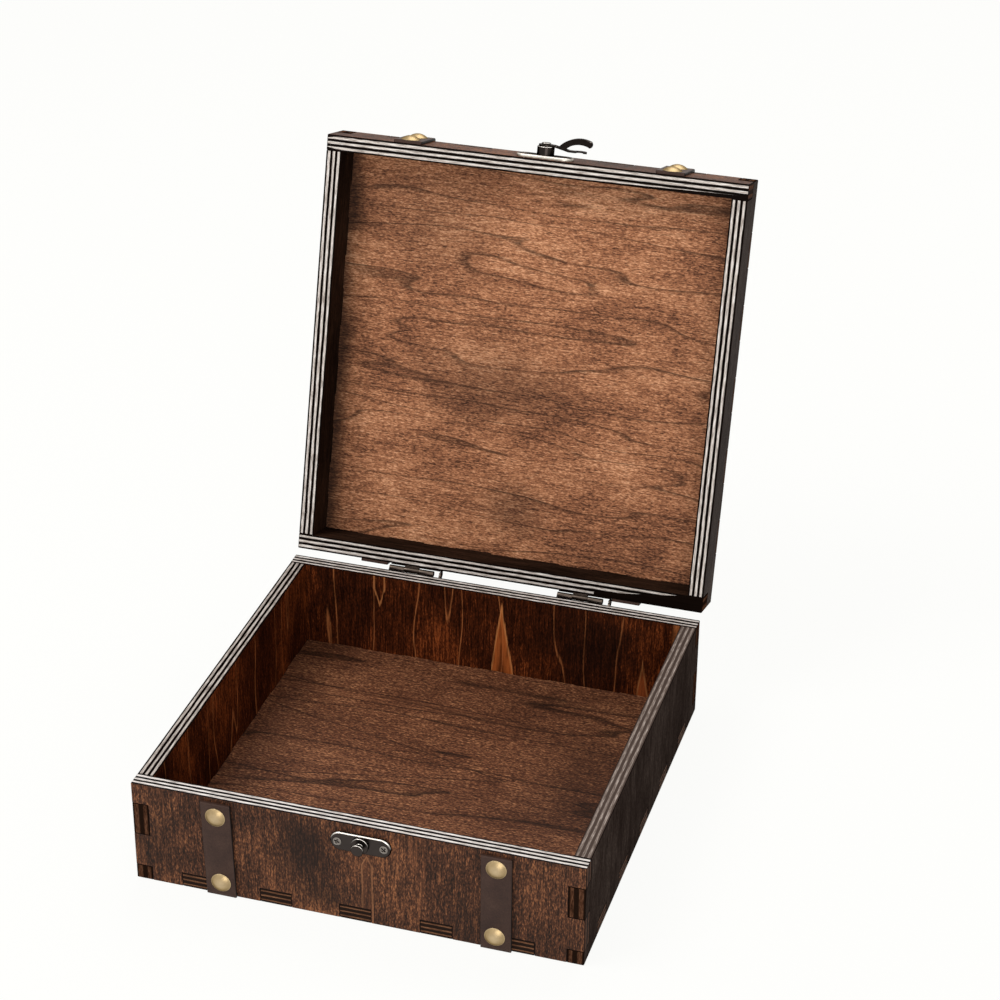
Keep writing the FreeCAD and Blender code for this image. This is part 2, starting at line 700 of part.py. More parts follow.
EYE_BACK = "hook_plane + hook_joggle"
knob_under = "hook_plane + hook_metal + 1.5 * hook_play"
collar_face = "plate_metal + collar_rise"
pieces["catch_knob"] = turned(
    "catch_knob",
    [
        ("0", "plate_metal"),
        ("collar_width / 2", "plate_metal"),
        ("collar_width / 2", collar_face),
        ("knob_neck / 2", collar_face),
        ("knob_neck / 2", knob_under),
        ("knob_head / 2", knob_under),
        ("knob_head / 2", f"{knob_under} + knob_head_rise"),
        ("0", f"{knob_under} + knob_head_rise"),
    ],
    place=at(LATCH, FRONT, catch_height, LATHE_TO_FRONT),
)
post_radius = "hook_bore / 2 - pin_clearance"
hub_face = f"{EYE_BACK} - hook_play"
head_under = f"{EYE_BACK} + hook_metal + hook_play"
pieces["latch_post"] = turned(
    "latch_post",
    [
        ("0", "plate_metal"),
        ("hub_width / 2", "plate_metal"),
        ("hub_width / 2", hub_face),
        (post_radius, hub_face),
        (post_radius, head_under),
        ("post_head / 2", head_under),
        ("post_head / 2", f"{head_under} + post_head_rise"),
        ("0", f"{head_under} + post_head_rise"),
    ],
    place=in_lid(LATCH, FRONT, "latch_rise", LATHE_TO_FRONT),
)


# ---- The hook: a stepped strip cut to an eye, an arm and a claw, with an arched finger horn -------------
# It lies along +X from its pivot, its claw open downwards and its front towards -Y.
hook = new_body("latch_hook", in_lid(LATCH, FRONT, "latch_rise"))
blank_end = f"{HOOK_REACH} + hook_claw"
strip = new_sketch(hook, "Strip", "XY_Plane")
outline(
    strip,
    [
        ("-hook_eye", f"-({EYE_BACK} + hook_metal)"),
        ("joggle_start", f"-({EYE_BACK} + hook_metal)"),
        ("joggle_end", "-(hook_plane + hook_metal)"),
        (blank_end, "-(hook_plane + hook_metal)"),
        (blank_end, "-hook_plane"),
        ("joggle_end", "-hook_plane"),
        ("joggle_start", f"-({EYE_BACK})"),
        ("-hook_eye", f"-({EYE_BACK})"),
    ],
)
pad(hook, strip, "2 * hook_claw", both_ways=True)

arm = "hook_arm / 2"
throat = "hook_throat / 2"
eye_join = "sqrt((hook_eye / 2)^2 - (hook_arm / 2)^2)"
claw_join = "sqrt((hook_claw / 2)^2 - (hook_arm / 2)^2)"
plan = new_sketch(hook, "Plan", "XZ_Plane")
outline(
    plan,
    [
        (eye_join, f"-{arm}"),
        (f"{HOOK_REACH} - {throat}", f"-{arm}"),
        (f"{HOOK_REACH} - {throat}", "0"),
        (f"{HOOK_REACH} + {throat}", "0"),
        (f"{HOOK_REACH} + {throat}", "-claw_tip"),
        (f"{HOOK_REACH} + hook_claw / 2", "-claw_tip"),
        (f"{HOOK_REACH} + hook_claw / 2", "0"),
        (f"{HOOK_REACH} - {claw_join}", arm),
        (eye_join, arm),
    ],
    rounds={2: ("y", "0"), 6: ("x", HOOK_REACH), 8: ("x", "0")},
    hollows=(2,),
)
waste = "3 * hook_claw"
outline(
    plan,
    [
        (f"-({waste})", f"-({waste})"),
        (f"{HOOK_REACH} + {waste}", f"-({waste})"),
        (f"{HOOK_REACH} + {waste}", waste),
        (f"-({waste})", waste),
    ],
)
pocket(hook, plan)

horn = new_sketch(hook, "Horn", "XY_Plane")
outline(
    horn,
    [
        ("horn_root", "-(hook_plane + horn_root_lift)"),
        (f"{HOOK_REACH} + horn_over", "-(hook_plane + horn_tip_lift)"),
        (f"{HOOK_REACH} + horn_over", "-(hook_plane + horn_tip_lift - horn_tip)"),
        ("horn_crotch", "-(hook_plane + horn_crotch_lift)"),
    ],
    rounds={0: ("x", "horn_crown"), 1: ("x", "horn_nose"), 2: ("x", "horn_hollow")},
    hollows=(2,),
)
pad(hook, horn, "horn_width", both_ways=True)
bore = new_sketch(hook, "Bore", "XZ_Plane")
circles(bore, [("0", "0", "hook_bore")])
pocket(hook, bore)
pieces["latch_hook"] = hook


# ---- Stop hinges: two leaves with interleaved knuckles on a headed pin ---------------------------------
def knuckle_ends(step):
    """Where a knuckle starts and ends along the barrel, less half a gap at each inner end."""
    start = f"barrel_length * {step / KNUCKLES - 0.5}"
    end = f"barrel_length * {(step + 1) / KNUCKLES - 0.5}"
    if step > 0:
        start += " + knuckle_gap / 2"
    if step < KNUCKLES - 1:
        end += " - knuckle_gap / 2"
    return start, end


def leaf(label, place, own, side):
    """A hinge leaf lying on the wall from the pin's height. Side is -1 below the pin and 1 above it."""
    body = new_body(label, place)

    def level(text):
        return text if side > 0 else f"-({text})"

    end = "stop_out + stop_metal"
    near = [("-barrel_length / 2", "0" if 0 in own else "leaf_relief")]
    for step in own:
        start, stop = knuckle_ends(step)
        steps = [(start, "leaf_relief"), (start, "0"), (stop, "0"), (stop, "leaf_relief")]
        near += steps[2:] if step == 0 else steps
    corners = near + [(end, "leaf_relief"), (end, "leaf_height"), ("-barrel_length / 2", "leaf_height")]
    corners = [(across, level(up)) for across, up in corners]
    blank = new_sketch(body, "Blank", "XZ_Plane")
    outline(blank, corners if side > 0 else corners[::-1])
    pad(body, blank, "leaf_metal", backwards=True)
    far = side * size("leaf_height")
    ends = (size("-barrel_length / 2"), size(end))
    finish_edges(
        body,
        "Fillet",
        "leaf_corner",
        lambda spot: abs(spot.z - far) < 1e-6 and min(abs(spot.x - edge) for edge in ends) < 1e-6,
    )
    for step in own:
        start, stop = knuckle_ends(step)
        roll = new_sketch(body, "Knuckle", "YZ_Plane", start)
        circles(roll, [("pivot_out", "0", "barrel_width")])
        pad(body, roll, f"({stop}) - ({start})")
    return body


def finish_leaf(label, body, side):
    """Reams the barrel and drills the screw holes."""
    reamed = new_sketch(body, "Bore", "YZ_Plane")
    circles(reamed, [("pivot_out", "0", "pin_width + 2 * pin_clearance")])
    pocket(body, reamed)
    punched = new_sketch(body, "ScrewHoles", "XZ_Plane")
    sign = "" if side > 0 else "-"
    squares(punched, [(across, f"{sign}{up}", LEAF_HOLE[0]) for across, up in LEAF_SCREWS])
    pocket(body, punched)
    pieces[label] = body


def stop_lug(body):
    """A lug at the barrel's end, its upper edge parallel to the opened lid leaf and just under it."""
    slope = "cos(lid_open * 1 deg) / sin(lid_open * 1 deg)"
    rest = "(pivot_out - leaf_metal) / sin(lid_open * 1 deg) - stop_gap"
    lug = new_sketch(body, "Stop", "YZ_Plane", "stop_out")
    corners = [("0", "-stop_foot"), ("leaf_metal", "-stop_foot"), ("stop_reach", "-leaf_metal")]
    corners += [("stop_reach", f"(stop_reach - pivot_out) * {slope} + {rest}"), ("pivot_out", rest)]
    corners += [("0", "-leaf_relief")]
    outline(lug, corners)
    pad(body, lug, "stop_metal")


for name, spot in HINGE_SPOTS.items():
    base_leaf = leaf(f"hinge_{name}_base_leaf", at(spot, BACK, PIVOT_HEIGHT), (0, 2), -1)
    stop_lug(base_leaf)
    finish_leaf(f"hinge_{name}_base_leaf", base_leaf, -1)
    shut_leaf = in_lid(spot, BACK, "pivot_up - rim_gap")
    lid_leaf = leaf(f"hinge_{name}_lid_leaf", shut_leaf, (1,), 1)
    finish_leaf(f"hinge_{name}_lid_leaf", lid_leaf, 1)
    pieces[f"hinge_{name}_pin"] = turned(
        f"hinge_{name}_pin",
        [
            ("0", "-barrel_length / 2"),
            ("pin_width / 2", "-barrel_length / 2"),
            ("pin_width / 2", "barrel_length / 2"),
            ("0", "barrel_length / 2"),
        ],
        place=at(spot, PIVOT_DEPTH, PIVOT_HEIGHT, LATHE_TO_SIDE),
    )

# ---- Check and export -----------------------------------------------------------------------------------
doc.recompute()
for thing in doc.Objects:
    if {"Invalid", "Error"} & set(thing.State):
        raise RuntimeError(f"{thing.Name} failed: {thing.State}")
for label, piece in pieces.items():
    if piece.Shape.isNull() or not piece.Shape.isValid():
        raise RuntimeError(f"{label} has no valid shape")
os.makedirs("parts", exist_ok=True)
for label, piece in pieces.items():
    piece.Shape.exportStep(f"parts/{label}.step")
    box = piece.Shape.BoundBox
    count, amount = len(piece.Shape.Solids), piece.Shape.Volume
    print(f"{label}: {count} solid(s), {amount:.0f} mm3, z {box.ZMin:.2f}..{box.ZMax:.2f}")
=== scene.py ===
import math

import bmesh
import bpy
import numpy as np
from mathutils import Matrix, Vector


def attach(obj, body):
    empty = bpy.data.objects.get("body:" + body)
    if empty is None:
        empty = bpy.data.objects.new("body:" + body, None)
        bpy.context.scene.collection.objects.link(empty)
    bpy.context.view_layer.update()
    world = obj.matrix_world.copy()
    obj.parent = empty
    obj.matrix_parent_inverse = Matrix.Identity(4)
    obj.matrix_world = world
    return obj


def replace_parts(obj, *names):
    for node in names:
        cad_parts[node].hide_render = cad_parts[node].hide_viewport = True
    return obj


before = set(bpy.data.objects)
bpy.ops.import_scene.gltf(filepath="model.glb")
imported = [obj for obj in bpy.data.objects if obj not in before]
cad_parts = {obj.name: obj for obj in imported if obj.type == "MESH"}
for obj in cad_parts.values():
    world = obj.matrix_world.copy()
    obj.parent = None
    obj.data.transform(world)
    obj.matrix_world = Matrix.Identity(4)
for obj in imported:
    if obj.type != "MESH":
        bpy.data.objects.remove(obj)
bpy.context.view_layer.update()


# ---- The camera and the room --------------------------------------------------------------------------
# The box stands on a pale floor in front of a white wall, lit by wide soft lamps from above and both
# sides. The camera looks down at it from the front right with a long lens.
MM = 0.001
scene = bpy.context.scene
scene.view_settings.view_transform = "Standard"

lens = bpy.data.cameras.new("camera")
lens.sensor_width = 36.0
lens.lens = 98.104
lens.shift_x = 0.05
lens.shift_y = 0.05
lens.clip_start = 0.05
lens.clip_end = 60.0
camera = bpy.data.objects.new("camera", lens)
camera.location = (0.402553, -1.218377, 0.912552)
camera.rotation_euler = (1.040138, 0.001110, 0.308881)
scene.collection.objects.link(camera)
scene.camera = camera


def shade(text):
    """A colour written as sRGB hex, in linear light with an alpha of 1."""
    parts = [int(text[i : i + 2], 16) / 255 for i in (1, 3, 5)]
    return (*[part / 12.92 if part < 0.04045 else ((part + 0.055) / 1.055) ** 2.4 for part in parts], 1.0)


def add(tree, kind, *feeds, into=None, stops=None, give=0, **settings):
    """Adds a node and gives back one of its outputs, or all of them for give=None. The kind may end in its
    operation. Feeds are values or outputs for the first sockets, into for named ones; stops fill a ramp."""
    kind, _, operation = kind.partition(" ")
    made = tree.nodes.new("ShaderNode" + kind)
    if operation:
        made.operation = operation
    for name, value in settings.items():
        setattr(made, name, value)
    for key, value in (dict(enumerate(feeds)) | (into or {})).items():
        if isinstance(value, bpy.types.NodeSocket):
            tree.links.new(value, made.inputs[key])
        else:
            made.inputs[key].default_value = value
    if stops:
        ramp = made.color_ramp.elements
        while len(ramp) < len(stops):
            ramp.new(1.0)
        for element, (place, colour) in zip(ramp, sorted(stops)):
            element.position = place
            element.color = shade(colour) if isinstance(colour, str) else (colour, colour, colour, 1.0)
    return made.outputs if give is None else made.outputs[give]


def new_finish(name):
    """An empty material, its node tree and the input that its surface goes to."""
    finish = bpy.data.materials.new(name)
    finish.use_nodes = True
    finish.node_tree.nodes.clear()
    return finish, finish.node_tree, finish.node_tree.nodes.new("ShaderNodeOutputMaterial").inputs["Surface"]


room = bpy.data.worlds.new("room")
room.use_nodes = True
scene.world = room
air = room.node_tree
air.nodes.clear()
ray = add(air, "LightPath", give=None)
direct = add(air, "Math MAXIMUM", ray["Is Camera Ray"], ray["Is Glossy Ray"])
direct = add(air, "Math MAXIMUM", direct, ray["Is Transmission Ray"])
soft = add(air, "Background", shade("#ffffff"), 0.36)
white = add(air, "Background", shade("#fffffd"), 1.0)
both = add(air, "MixShader", direct, soft, white)
add(air, "OutputWorld", both, give=None)

for name, place, aim, width, watts in (
    ("lamp_key", (-1.1, -0.7, 1.9), (0.0, 0.05, 0.1), 1.1, 29.0),
    ("lamp_back", (0.1, 1.1, 1.7), (0.0, 0.0, 0.1), 1.2, 15.0),
    ("lamp_front", (0.9, -2.0, 0.9), (0.0, 0.1, 0.12), 1.4, 22.0),
):
    bulb = bpy.data.lights.new(name, "AREA")
    bulb.shape = "SQUARE"
    bulb.size = width
    bulb.energy = watts
    lamp = bpy.data.objects.new(name, bulb)
    lamp.location = place
    lamp.rotation_mode = "QUATERNION"
    lamp.rotation_quaternion = Vector(np.array(aim) - np.array(place)).to_track_quat("-Z", "Y")
    scene.collection.objects.link(lamp)


def sheet_mesh(name, parts):
    """A mesh of one or more surfaces. Each part is a grid of points, rows by columns by xyz, with whether
    its columns close into a ring. Neighbouring points join as quads, and coincident points are merged."""
    points, faces, start = [], [], 0
    for grid, ring in parts:
        rows, columns = grid.shape[:2]
        index = np.arange(rows * columns).reshape(rows, columns) + start
        if ring:
            index = np.concatenate([index, index[:, :1]], axis=1)
        quads = np.stack([index[:-1, :-1], index[:-1, 1:], index[1:, 1:], index[1:, :-1]], axis=-1)
        points.append(grid.reshape(-1, 3))
        faces.append(quads.reshape(-1, 4))
        start += rows * columns
    mesh = bpy.data.meshes.new(name)
    mesh.from_pydata(np.concatenate(points) * MM, [], np.concatenate(faces).tolist())
    work = bmesh.new()
    work.from_mesh(mesh)
    bmesh.ops.remove_doubles(work, verts=work.verts, dist=1e-7)
    bmesh.ops.recalc_face_normals(work, faces=work.faces)
    work.to_mesh(mesh)
    work.free()
    mesh.shade_smooth()
    piece = bpy.data.objects.new(name, mesh)
    scene.collection.objects.link(piece)
    return piece


# matt pale board, which takes the box's soft shadow and is otherwise as white as the wall behind
FLOOR_REACH = 9000.0
FLOOR_DROP = 0.05
FLOOR_GLOW = 0.93
tiles = np.linspace(-FLOOR_REACH, FLOOR_REACH, 9)
across, along = np.meshgrid(tiles, tiles, indexing="ij")
floor = sheet_mesh("floor", [(np.stack([across, along, 0 * across - FLOOR_DROP], axis=-1), False)])
pale, tree, surface = new_finish("pale_floor")
ray = add(tree, "LightPath", give=None)
mirrored = add(tree, "Math MAXIMUM", ray["Is Camera Ray"], ray["Is Glossy Ray"])
share = add(tree, "Math MULTIPLY", mirrored, FLOOR_GLOW)
lit = add(tree, "BsdfDiffuse", shade("#e9e8e5"))
glow = add(tree, "Emission", shade("#fffffd"), 1.0)
tree.links.new(add(tree, "MixShader", share, lit, glow), surface)
floor.data.materials.append(pale)


# ---- The boards: stained birch plywood ----------------------------------------------------------------
# Laser-cut birch plywood, finger-jointed and glued, 9 mm thick but for the 5 mm panel of the lid. The
# faces carry a dark walnut stain that sits in the pores, the sanded rims show pale plies between
# near-black glue lines, and the laser has left every cut edge burnt.
HALF = 254.0 / 2
WALL = 9.4
BOTTOM = 9.0
PANEL = 4.8
BASE_HEIGHT = 63.0
LID_RIM = BASE_HEIGHT + 0.4
LID_TOP = LID_RIM + 27.0
PIVOT = np.array([0.0, HALF + 2.7, BASE_HEIGHT + 0.2])
OPEN = math.radians(106.1)
EASED_EDGE = 0.35
OUTER, INNER = 0, 1
BURNT = "#120b08"
# the colour of the dark pools: stain on the base's front, painted shade on the back wall and the lid's panel
STAIN_AND_SHADE_POOL = "#1a110d"

# The colour of each kind of face: four tones of the wood from dark to pale, the pores, and the
# growth lines, with their colour, how strongly they show, the part of a year over which they fade, their
# pitch in millimetres and how many more of them the figure adds. Last comes how far the blotches, the
# fibres and the flecks move the tone. The outer sides and the linings are the stain with painted shade
# in it.
FACES = {
    "front": dict(tones=("#1b110b", "#392216", "#573524", "#97623f"), pore="#120a07", line="#8a5638",
                  line_share=0.3, fade=0.05, pitch=22.0, more_lines=3.0, gains=(0.9, 1.0, 1.3)),
    # the outer sides: painted darker and greyer than the front, as shade where the light reaches them less
    "side": dict(tones=("#18120f", "#2d2420", "#3f3530", "#62554d"), pore="#120c0a", line="#211815",
                 line_share=0.5, fade=0.3, pitch=16.0, more_lines=3.0, gains=(0.8, 0.9, 0.5)),
    "inside": dict(tones=("#160804", "#30150a", "#4b2210", "#924a24"), pore="#0f0604", line="#b26c3f",
                   line_share=0.75, fade=0.042, pitch=26.0, more_lines=3.6, gains=(1.2, 1.0, 0.7)),
    # the linings, the inner faces of the walls: painted near black, as shade where they lie in shadow
    "lining_in_shade": dict(tones=("#100b08", "#20150f", "#302017", "#463024"), pore="#0d0805", line="#3d2a1f",
                   line_share=0.3, fade=0.3, pitch=16.0, more_lines=3.0, gains=(1.0, 1.0, 0.4)),
    "floor": dict(tones=("#28160d", "#502f1f", "#714630", "#b98159"), pore="#22120c", line="#170b06",
                  line_share=0.95, fade=0.2, pitch=44.0, more_lines=4.0, gains=(0.6, 0.8, 1.5)),
    "panel": dict(tones=("#41271a", "#84543a", "#ab7350", "#dea67e"), pore="#3e2317", line="#2b180e",
                  line_share=0.85, fade=0.14, pitch=19.0, more_lines=5.5, gains=(1.0, 0.8, 1.3)),
    "under": dict(tones=("#221814", "#392b24", "#504036", "#6b584b"), pore="#1a120f", line="#261b16",
                  line_share=0.4, fade=0.3, pitch=20.0, more_lines=4.0, gains=(1.1, 1.0, 0.4)),
}
# The sanded rims: the glue between the plies, three tones of the pale plies, and where these lie through
# the thickness, 1 for a pale ply and 0 for glue or a dark one.
RIMS = {
    "bright": dict(glue="#070403", plies=("#6f635b", "#dad1ca", "#f8f4f0")),
    "dulled": dict(glue="#0c0705", plies=("#5f534b", "#b0a59c", "#d8cfc7")),
    "worn": dict(glue="#0c0705", plies=("#75685f", "#cdc2b9", "#f7f1ec")),
    "grey": dict(glue="#4a3e38", plies=("#51453e", "#7d6f66", "#b9aba1")),
}
RIM_PLIES = ((0.0, 0.0), (0.1, 0.0), (0.14, 1.0), (0.25, 1.0), (0.28, 0.0), (0.42, 0.0), (0.46, 1.0),
             (0.57, 1.0), (0.6, 0.0), (0.74, 0.0), (0.78, 1.0), (0.88, 1.0), (0.91, 0.0), (1.0, 0.0))
# the same for the ends of tabs and fingers, which the laser has browned
END_GLUE = "#1e130d"
ENDS = {
    "wall": dict(plies=("#22150e", "#4a2f21", "#6e4c38"),
                 lie=((0.09, 0.0), (0.14, 1.0), (0.36, 1.0), (0.42, 0.0),
                      (0.66, 0.0), (0.71, 1.0), (0.86, 1.0), (0.91, 0.0))),
    "floor": dict(plies=("#3f2a1d", "#6b4731", "#936a4c"),
                  lie=((0.13, 0.0), (0.17, 1.0), (0.22, 1.0), (0.26, 0.0), (0.45, 0.0), (0.49, 1.0),
                       (0.54, 1.0), (0.58, 0.0), (0.77, 0.0), (0.81, 1.0), (0.86, 1.0), (0.9, 0.0))),
}


def stained_face(tree, noise, pored, across, tones, pore, line, line_share, fade, pitch, more_lines, gains):
    """The colour of one kind of face. The tone is a sum of noises. A growth line is a sawtooth, dark at its
    start and fading: the place across the grain over the pitch, plus the figure times more lines."""
    tone = 0.52
    for key, gain in zip(("blotch", "fibres", "flecks"), gains):
        tone = add(tree, "Math MULTIPLY_ADD", add(tree, "Math SUBTRACT", noise[key], 0.5), gain, tone)
    wood = add(tree, "ValToRGB", tone, stops=list(zip((0.12, 0.4, 0.62, 0.95), tones)))
    wood = add(tree, "Mix", into={0: pored, 6: wood, 7: shade(pore)}, data_type="RGBA", give=2)

    bent = add(tree, "Math MULTIPLY", noise["figure"], more_lines)
    year = add(tree, "Math MULTIPLY_ADD", across, 1 / pitch, bent)
    year = add(tree, "Math FRACT", add(tree, "Math MULTIPLY_ADD", noise["flecks"], 0.6 / pitch, year))
    lines = add(tree, "ValToRGB", year, stops=[
        (0.0, line_share), (fade * 0.3, line_share * 0.8), (fade * 0.6, line_share * 0.25),
        (fade, 0.0), (0.97, 0.0), (1.0, line_share)])
    broken = add(tree, "ValToRGB", noise["fibres"], stops=[(0.36, 0.3), (0.56, 1.0)])
    lines = add(tree, "Math MULTIPLY", lines, broken)
    return add(tree, "Mix", into={0: lines, 6: wood, 7: shade(line)}, data_type="RGBA", give=2)


def with_heart(tree, noise, wood, across, along, middle, tip, slope, half, fill, fill_share, line):
    """The colour of a face with a heart in its grain, a pointed figure that runs down from its tip. It
    widens by its slope until it is half wide on either side of its middle, and sways with the figure. The
    outline lies where the distance to its flank is 0, and the fill within."""
    sway = add(tree, "Math MULTIPLY_ADD", noise["figure"], 8.0, middle - 4.0)
    aside = add(tree, "Math ABSOLUTE", add(tree, "Math SUBTRACT", across, sway))
    below = add(tree, "Math MULTIPLY", add(tree, "Math SUBTRACT", tip, along), slope)
    within = add(tree, "Math SUBTRACT", add(tree, "Math MINIMUM", below, half), aside)
    within = add(tree, "Math MULTIPLY_ADD", add(tree, "Math SUBTRACT", noise["fibres"], 0.5), 1.6, within)
    broken = add(tree, "ValToRGB", noise["fibres"], stops=[(0.34, 0.4), (0.52, 1.0)])
    flame = add(tree, "ValToRGB", add(tree, "Math MULTIPLY", within, 0.2),
                stops=[(0.0, 0.0), (0.08, fill_share), (0.5, fill_share), (1.0, fill_share * 0.3)])
    outline = add(tree, "ValToRGB", add(tree, "Math MULTIPLY_ADD", within, 0.1, 0.5),
                  stops=[(0.43, 0.0), (0.48, 0.85), (0.52, 0.85), (0.57, 0.0)])
    flame, outline = (add(tree, "Math MULTIPLY", share, broken) for share in (flame, outline))
    wood = add(tree, "Mix", into={0: flame, 6: wood, 7: shade(fill)}, data_type="RGBA", give=2)
    return add(tree, "Mix", into={0: outline, 6: wood, 7: shade(line)}, data_type="RGBA", give=2)


def with_stain_and_shade_pool(tree, noise, wood, across, along, at, reach, depth):
    """The colour of a face with a dark pool, a soft dark cloud that fades out over an ellipse, used both for
    pools of stain and for painted shade where a face lies in shadow. Its place and its reach are given
    across the grain and along it, and the blotches ruffle its edge."""
    away = [add(tree, "Math MULTIPLY_ADD", where, 1 / far, -middle / far)
            for where, middle, far in zip((across, along), at, reach)]
    away = add(tree, "VectorMath LENGTH", add(tree, "CombineXYZ", *away), give="Value")
    away = add(tree, "Math MULTIPLY_ADD", add(tree, "Math SUBTRACT", noise["blotch"], 0.5), 1.6, away)
    cloud = add(tree, "ValToRGB", away, stops=[(0.25, depth), (0.6, depth * 0.55), (1.0, 0.0)])
    return add(tree, "Mix", into={0: cloud, 6: wood, 7: shade(STAIN_AND_SHADE_POOL)}, data_type="RGBA", give=2)


def stained_board(name, grain, through, outer_at, inner_at, outer, inner, rim, rim_look,
                  end_look="wall", opened=False, seed=0.0, sheen=0.12, hearts=(), pools_of_stain_and_shade=()):
    """Birch plywood under walnut stain. The grain runs along one axis, and the board is as thick as the way
    through it from outer_at to inner_at. Its two faces, its sanded rim and its cut ends are told apart by
    where they face. Noises stretched along the grain draw the faces, and ramps through the thickness lay
    the plies on the edges."""
    finish, tree, surface = new_finish(name)
    cross = next(axis for axis in "xyz" if axis not in (through, grain))
    run, stand = "xy" if through == "z" else (next(axis for axis in "xy" if axis != through), "z")

    # the pattern of an open lid is laid out on the closed one, so its place is turned back about the pin
    place = add(tree, "TexCoord", give=None)
    turn = (OPEN if opened else 0.0, 0.0, 0.0)
    swung = np.array([0.0, PIVOT[1] * math.cos(OPEN) - PIVOT[2] * math.sin(OPEN),
                      PIVOT[1] * math.sin(OPEN) + PIVOT[2] * math.cos(OPEN)])
    shift = tuple(PIVOT - swung) if opened else (0.0, 0.0, 0.0)
    spot = add(tree, "Mapping", place["Object"], shift, turn, (1 / MM, 1 / MM, 1 / MM))
    facing = add(tree, "Mapping", into={"Vector": place["Normal"], "Rotation": turn}, vector_type="NORMAL")
    where = dict(zip("xyz", add(tree, "SeparateXYZ", spot, give=None)))
    normal = dict(zip("xyz", add(tree, "SeparateXYZ", facing, give=None)))

    # Five noises in the wood, each with its lumps' length and width in millimetres. Real pores and flecks
    # are about 0.1 mm wide, and are drawn five times as coarse so that they show.
    noise = {}
    for number, (key, long, wide, detail, rough, warp) in enumerate((
        ("figure", 210.0, 30.0, 2.0, 0.45, 0.1),
        ("blotch", 75.0, 42.0, 3.0, 0.6, 0.4),
        ("fibres", 15.0, 0.9, 3.0, 0.6, 0.4),
        ("pores", 4.0, 0.5, 0.0, 0.5, 0.0),
        ("flecks", 1.8, 0.6, 1.0, 0.5, 0.5),
    )):
        scales = {grain: 1 / long, cross: 1 / wide, through: 0.31}
        vector = add(tree, "Mapping", into={"Vector": spot, "Location": (seed + 5.3 * number, seed, seed),
                                            "Scale": tuple(scales[axis] for axis in "xyz")})
        noise[key] = add(tree, "TexNoise", into={"Vector": vector, "Scale": 1.0, "Detail": detail,
                                                 "Roughness": rough, "Distortion": warp})

    pored = add(tree, "ValToRGB", noise["pores"], stops=[(0.62, 0.0), (0.72, 0.45)])
    colours = [stained_face(tree, noise, pored, where[cross], **FACES[kind]) for kind in (outer, inner)]
    for face, heart in hearts:
        colours[face] = with_heart(tree, noise, colours[face], where[cross], where[grain], *heart)
    for face, pool in pools_of_stain_and_shade:
        colours[face] = with_stain_and_shade_pool(tree, noise, colours[face], where[cross], where[grain], *pool)
    side = add(tree, "Math MULTIPLY", normal[through], 1.0 if inner_at > outer_at else -1.0)
    is_inner = add(tree, "Math GREATER_THAN", side, 0.5)
    is_face = add(tree, "Math GREATER_THAN", add(tree, "Math ABSOLUTE", side), 0.93)
    wood = add(tree, "Mix", into={0: is_inner, 6: colours[OUTER], 7: colours[INNER]},
               data_type="RGBA", give=2)

    # seven plies through the thickness, each glue line wandering a little along the edge
    scales = {run: 0.05, through: 0.5, stand: 0.1}
    vector = add(tree, "Mapping", into={"Vector": spot, "Scale": tuple(scales[axis] for axis in "xyz")})
    wander = add(tree, "TexNoise", into={"Vector": vector, "Scale": 1.0, "Detail": 3.0, "Roughness": 0.6})
    thick = inner_at - outer_at
    depth = add(tree, "Math MULTIPLY_ADD", where[through], 1 / thick, -outer_at / thick)
    depth = add(tree, "Math MULTIPLY_ADD", add(tree, "Math SUBTRACT", wander, 0.5), 0.09, depth)
    rim_plies = add(tree, "ValToRGB", depth, stops=RIM_PLIES)
    end_plies = add(tree, "ValToRGB", depth, stops=ENDS[end_look]["lie"])
    scales = {run: 0.12, through: 1.7, stand: 0.3}
    vector = add(tree, "Mapping", into={"Vector": spot, "Scale": tuple(scales[axis] for axis in "xyz")})
    streaks = add(tree, "TexNoise", into={"Vector": vector, "Scale": 1.0, "Detail": 4.0, "Roughness": 0.7})
    upward = add(tree, "Math MULTIPLY", normal[rim[1]], 1.0 if rim[0] == "+" else -1.0)
    is_rim = add(tree, "Math GREATER_THAN", upward, 0.9)
    is_end = add(tree, "Math GREATER_THAN", add(tree, "Math MAXIMUM", *[
        add(tree, "Math ABSOLUTE", normal[axis]) for axis in "xyz" if axis != through]), 0.93)
    look = RIMS[rim_look]
    rim_pale = add(tree, "ValToRGB", streaks, stops=list(zip((0.33, 0.5, 0.66), look["plies"])))
    end_pale = add(tree, "ValToRGB", streaks, stops=list(zip((0.33, 0.5, 0.7), ENDS[end_look]["plies"])))
    plies = add(tree, "Mix", is_rim, into={2: end_plies, 3: rim_plies})
    pale = add(tree, "Mix", into={0: is_rim, 6: end_pale, 7: rim_pale}, data_type="RGBA", give=2)
    glue = add(tree, "Mix", into={0: is_rim, 6: shade(END_GLUE), 7: shade(look["glue"])},
               data_type="RGBA", give=2)
    edge = add(tree, "Mix", into={0: plies, 6: glue, 7: pale}, data_type="RGBA", give=2)
    edge = add(tree, "Mix", into={0: is_end, 6: shade(BURNT), 7: edge}, data_type="RGBA", give=2)
    colour = add(tree, "Mix", into={0: is_face, 6: edge, 7: wood}, data_type="RGBA", give=2)

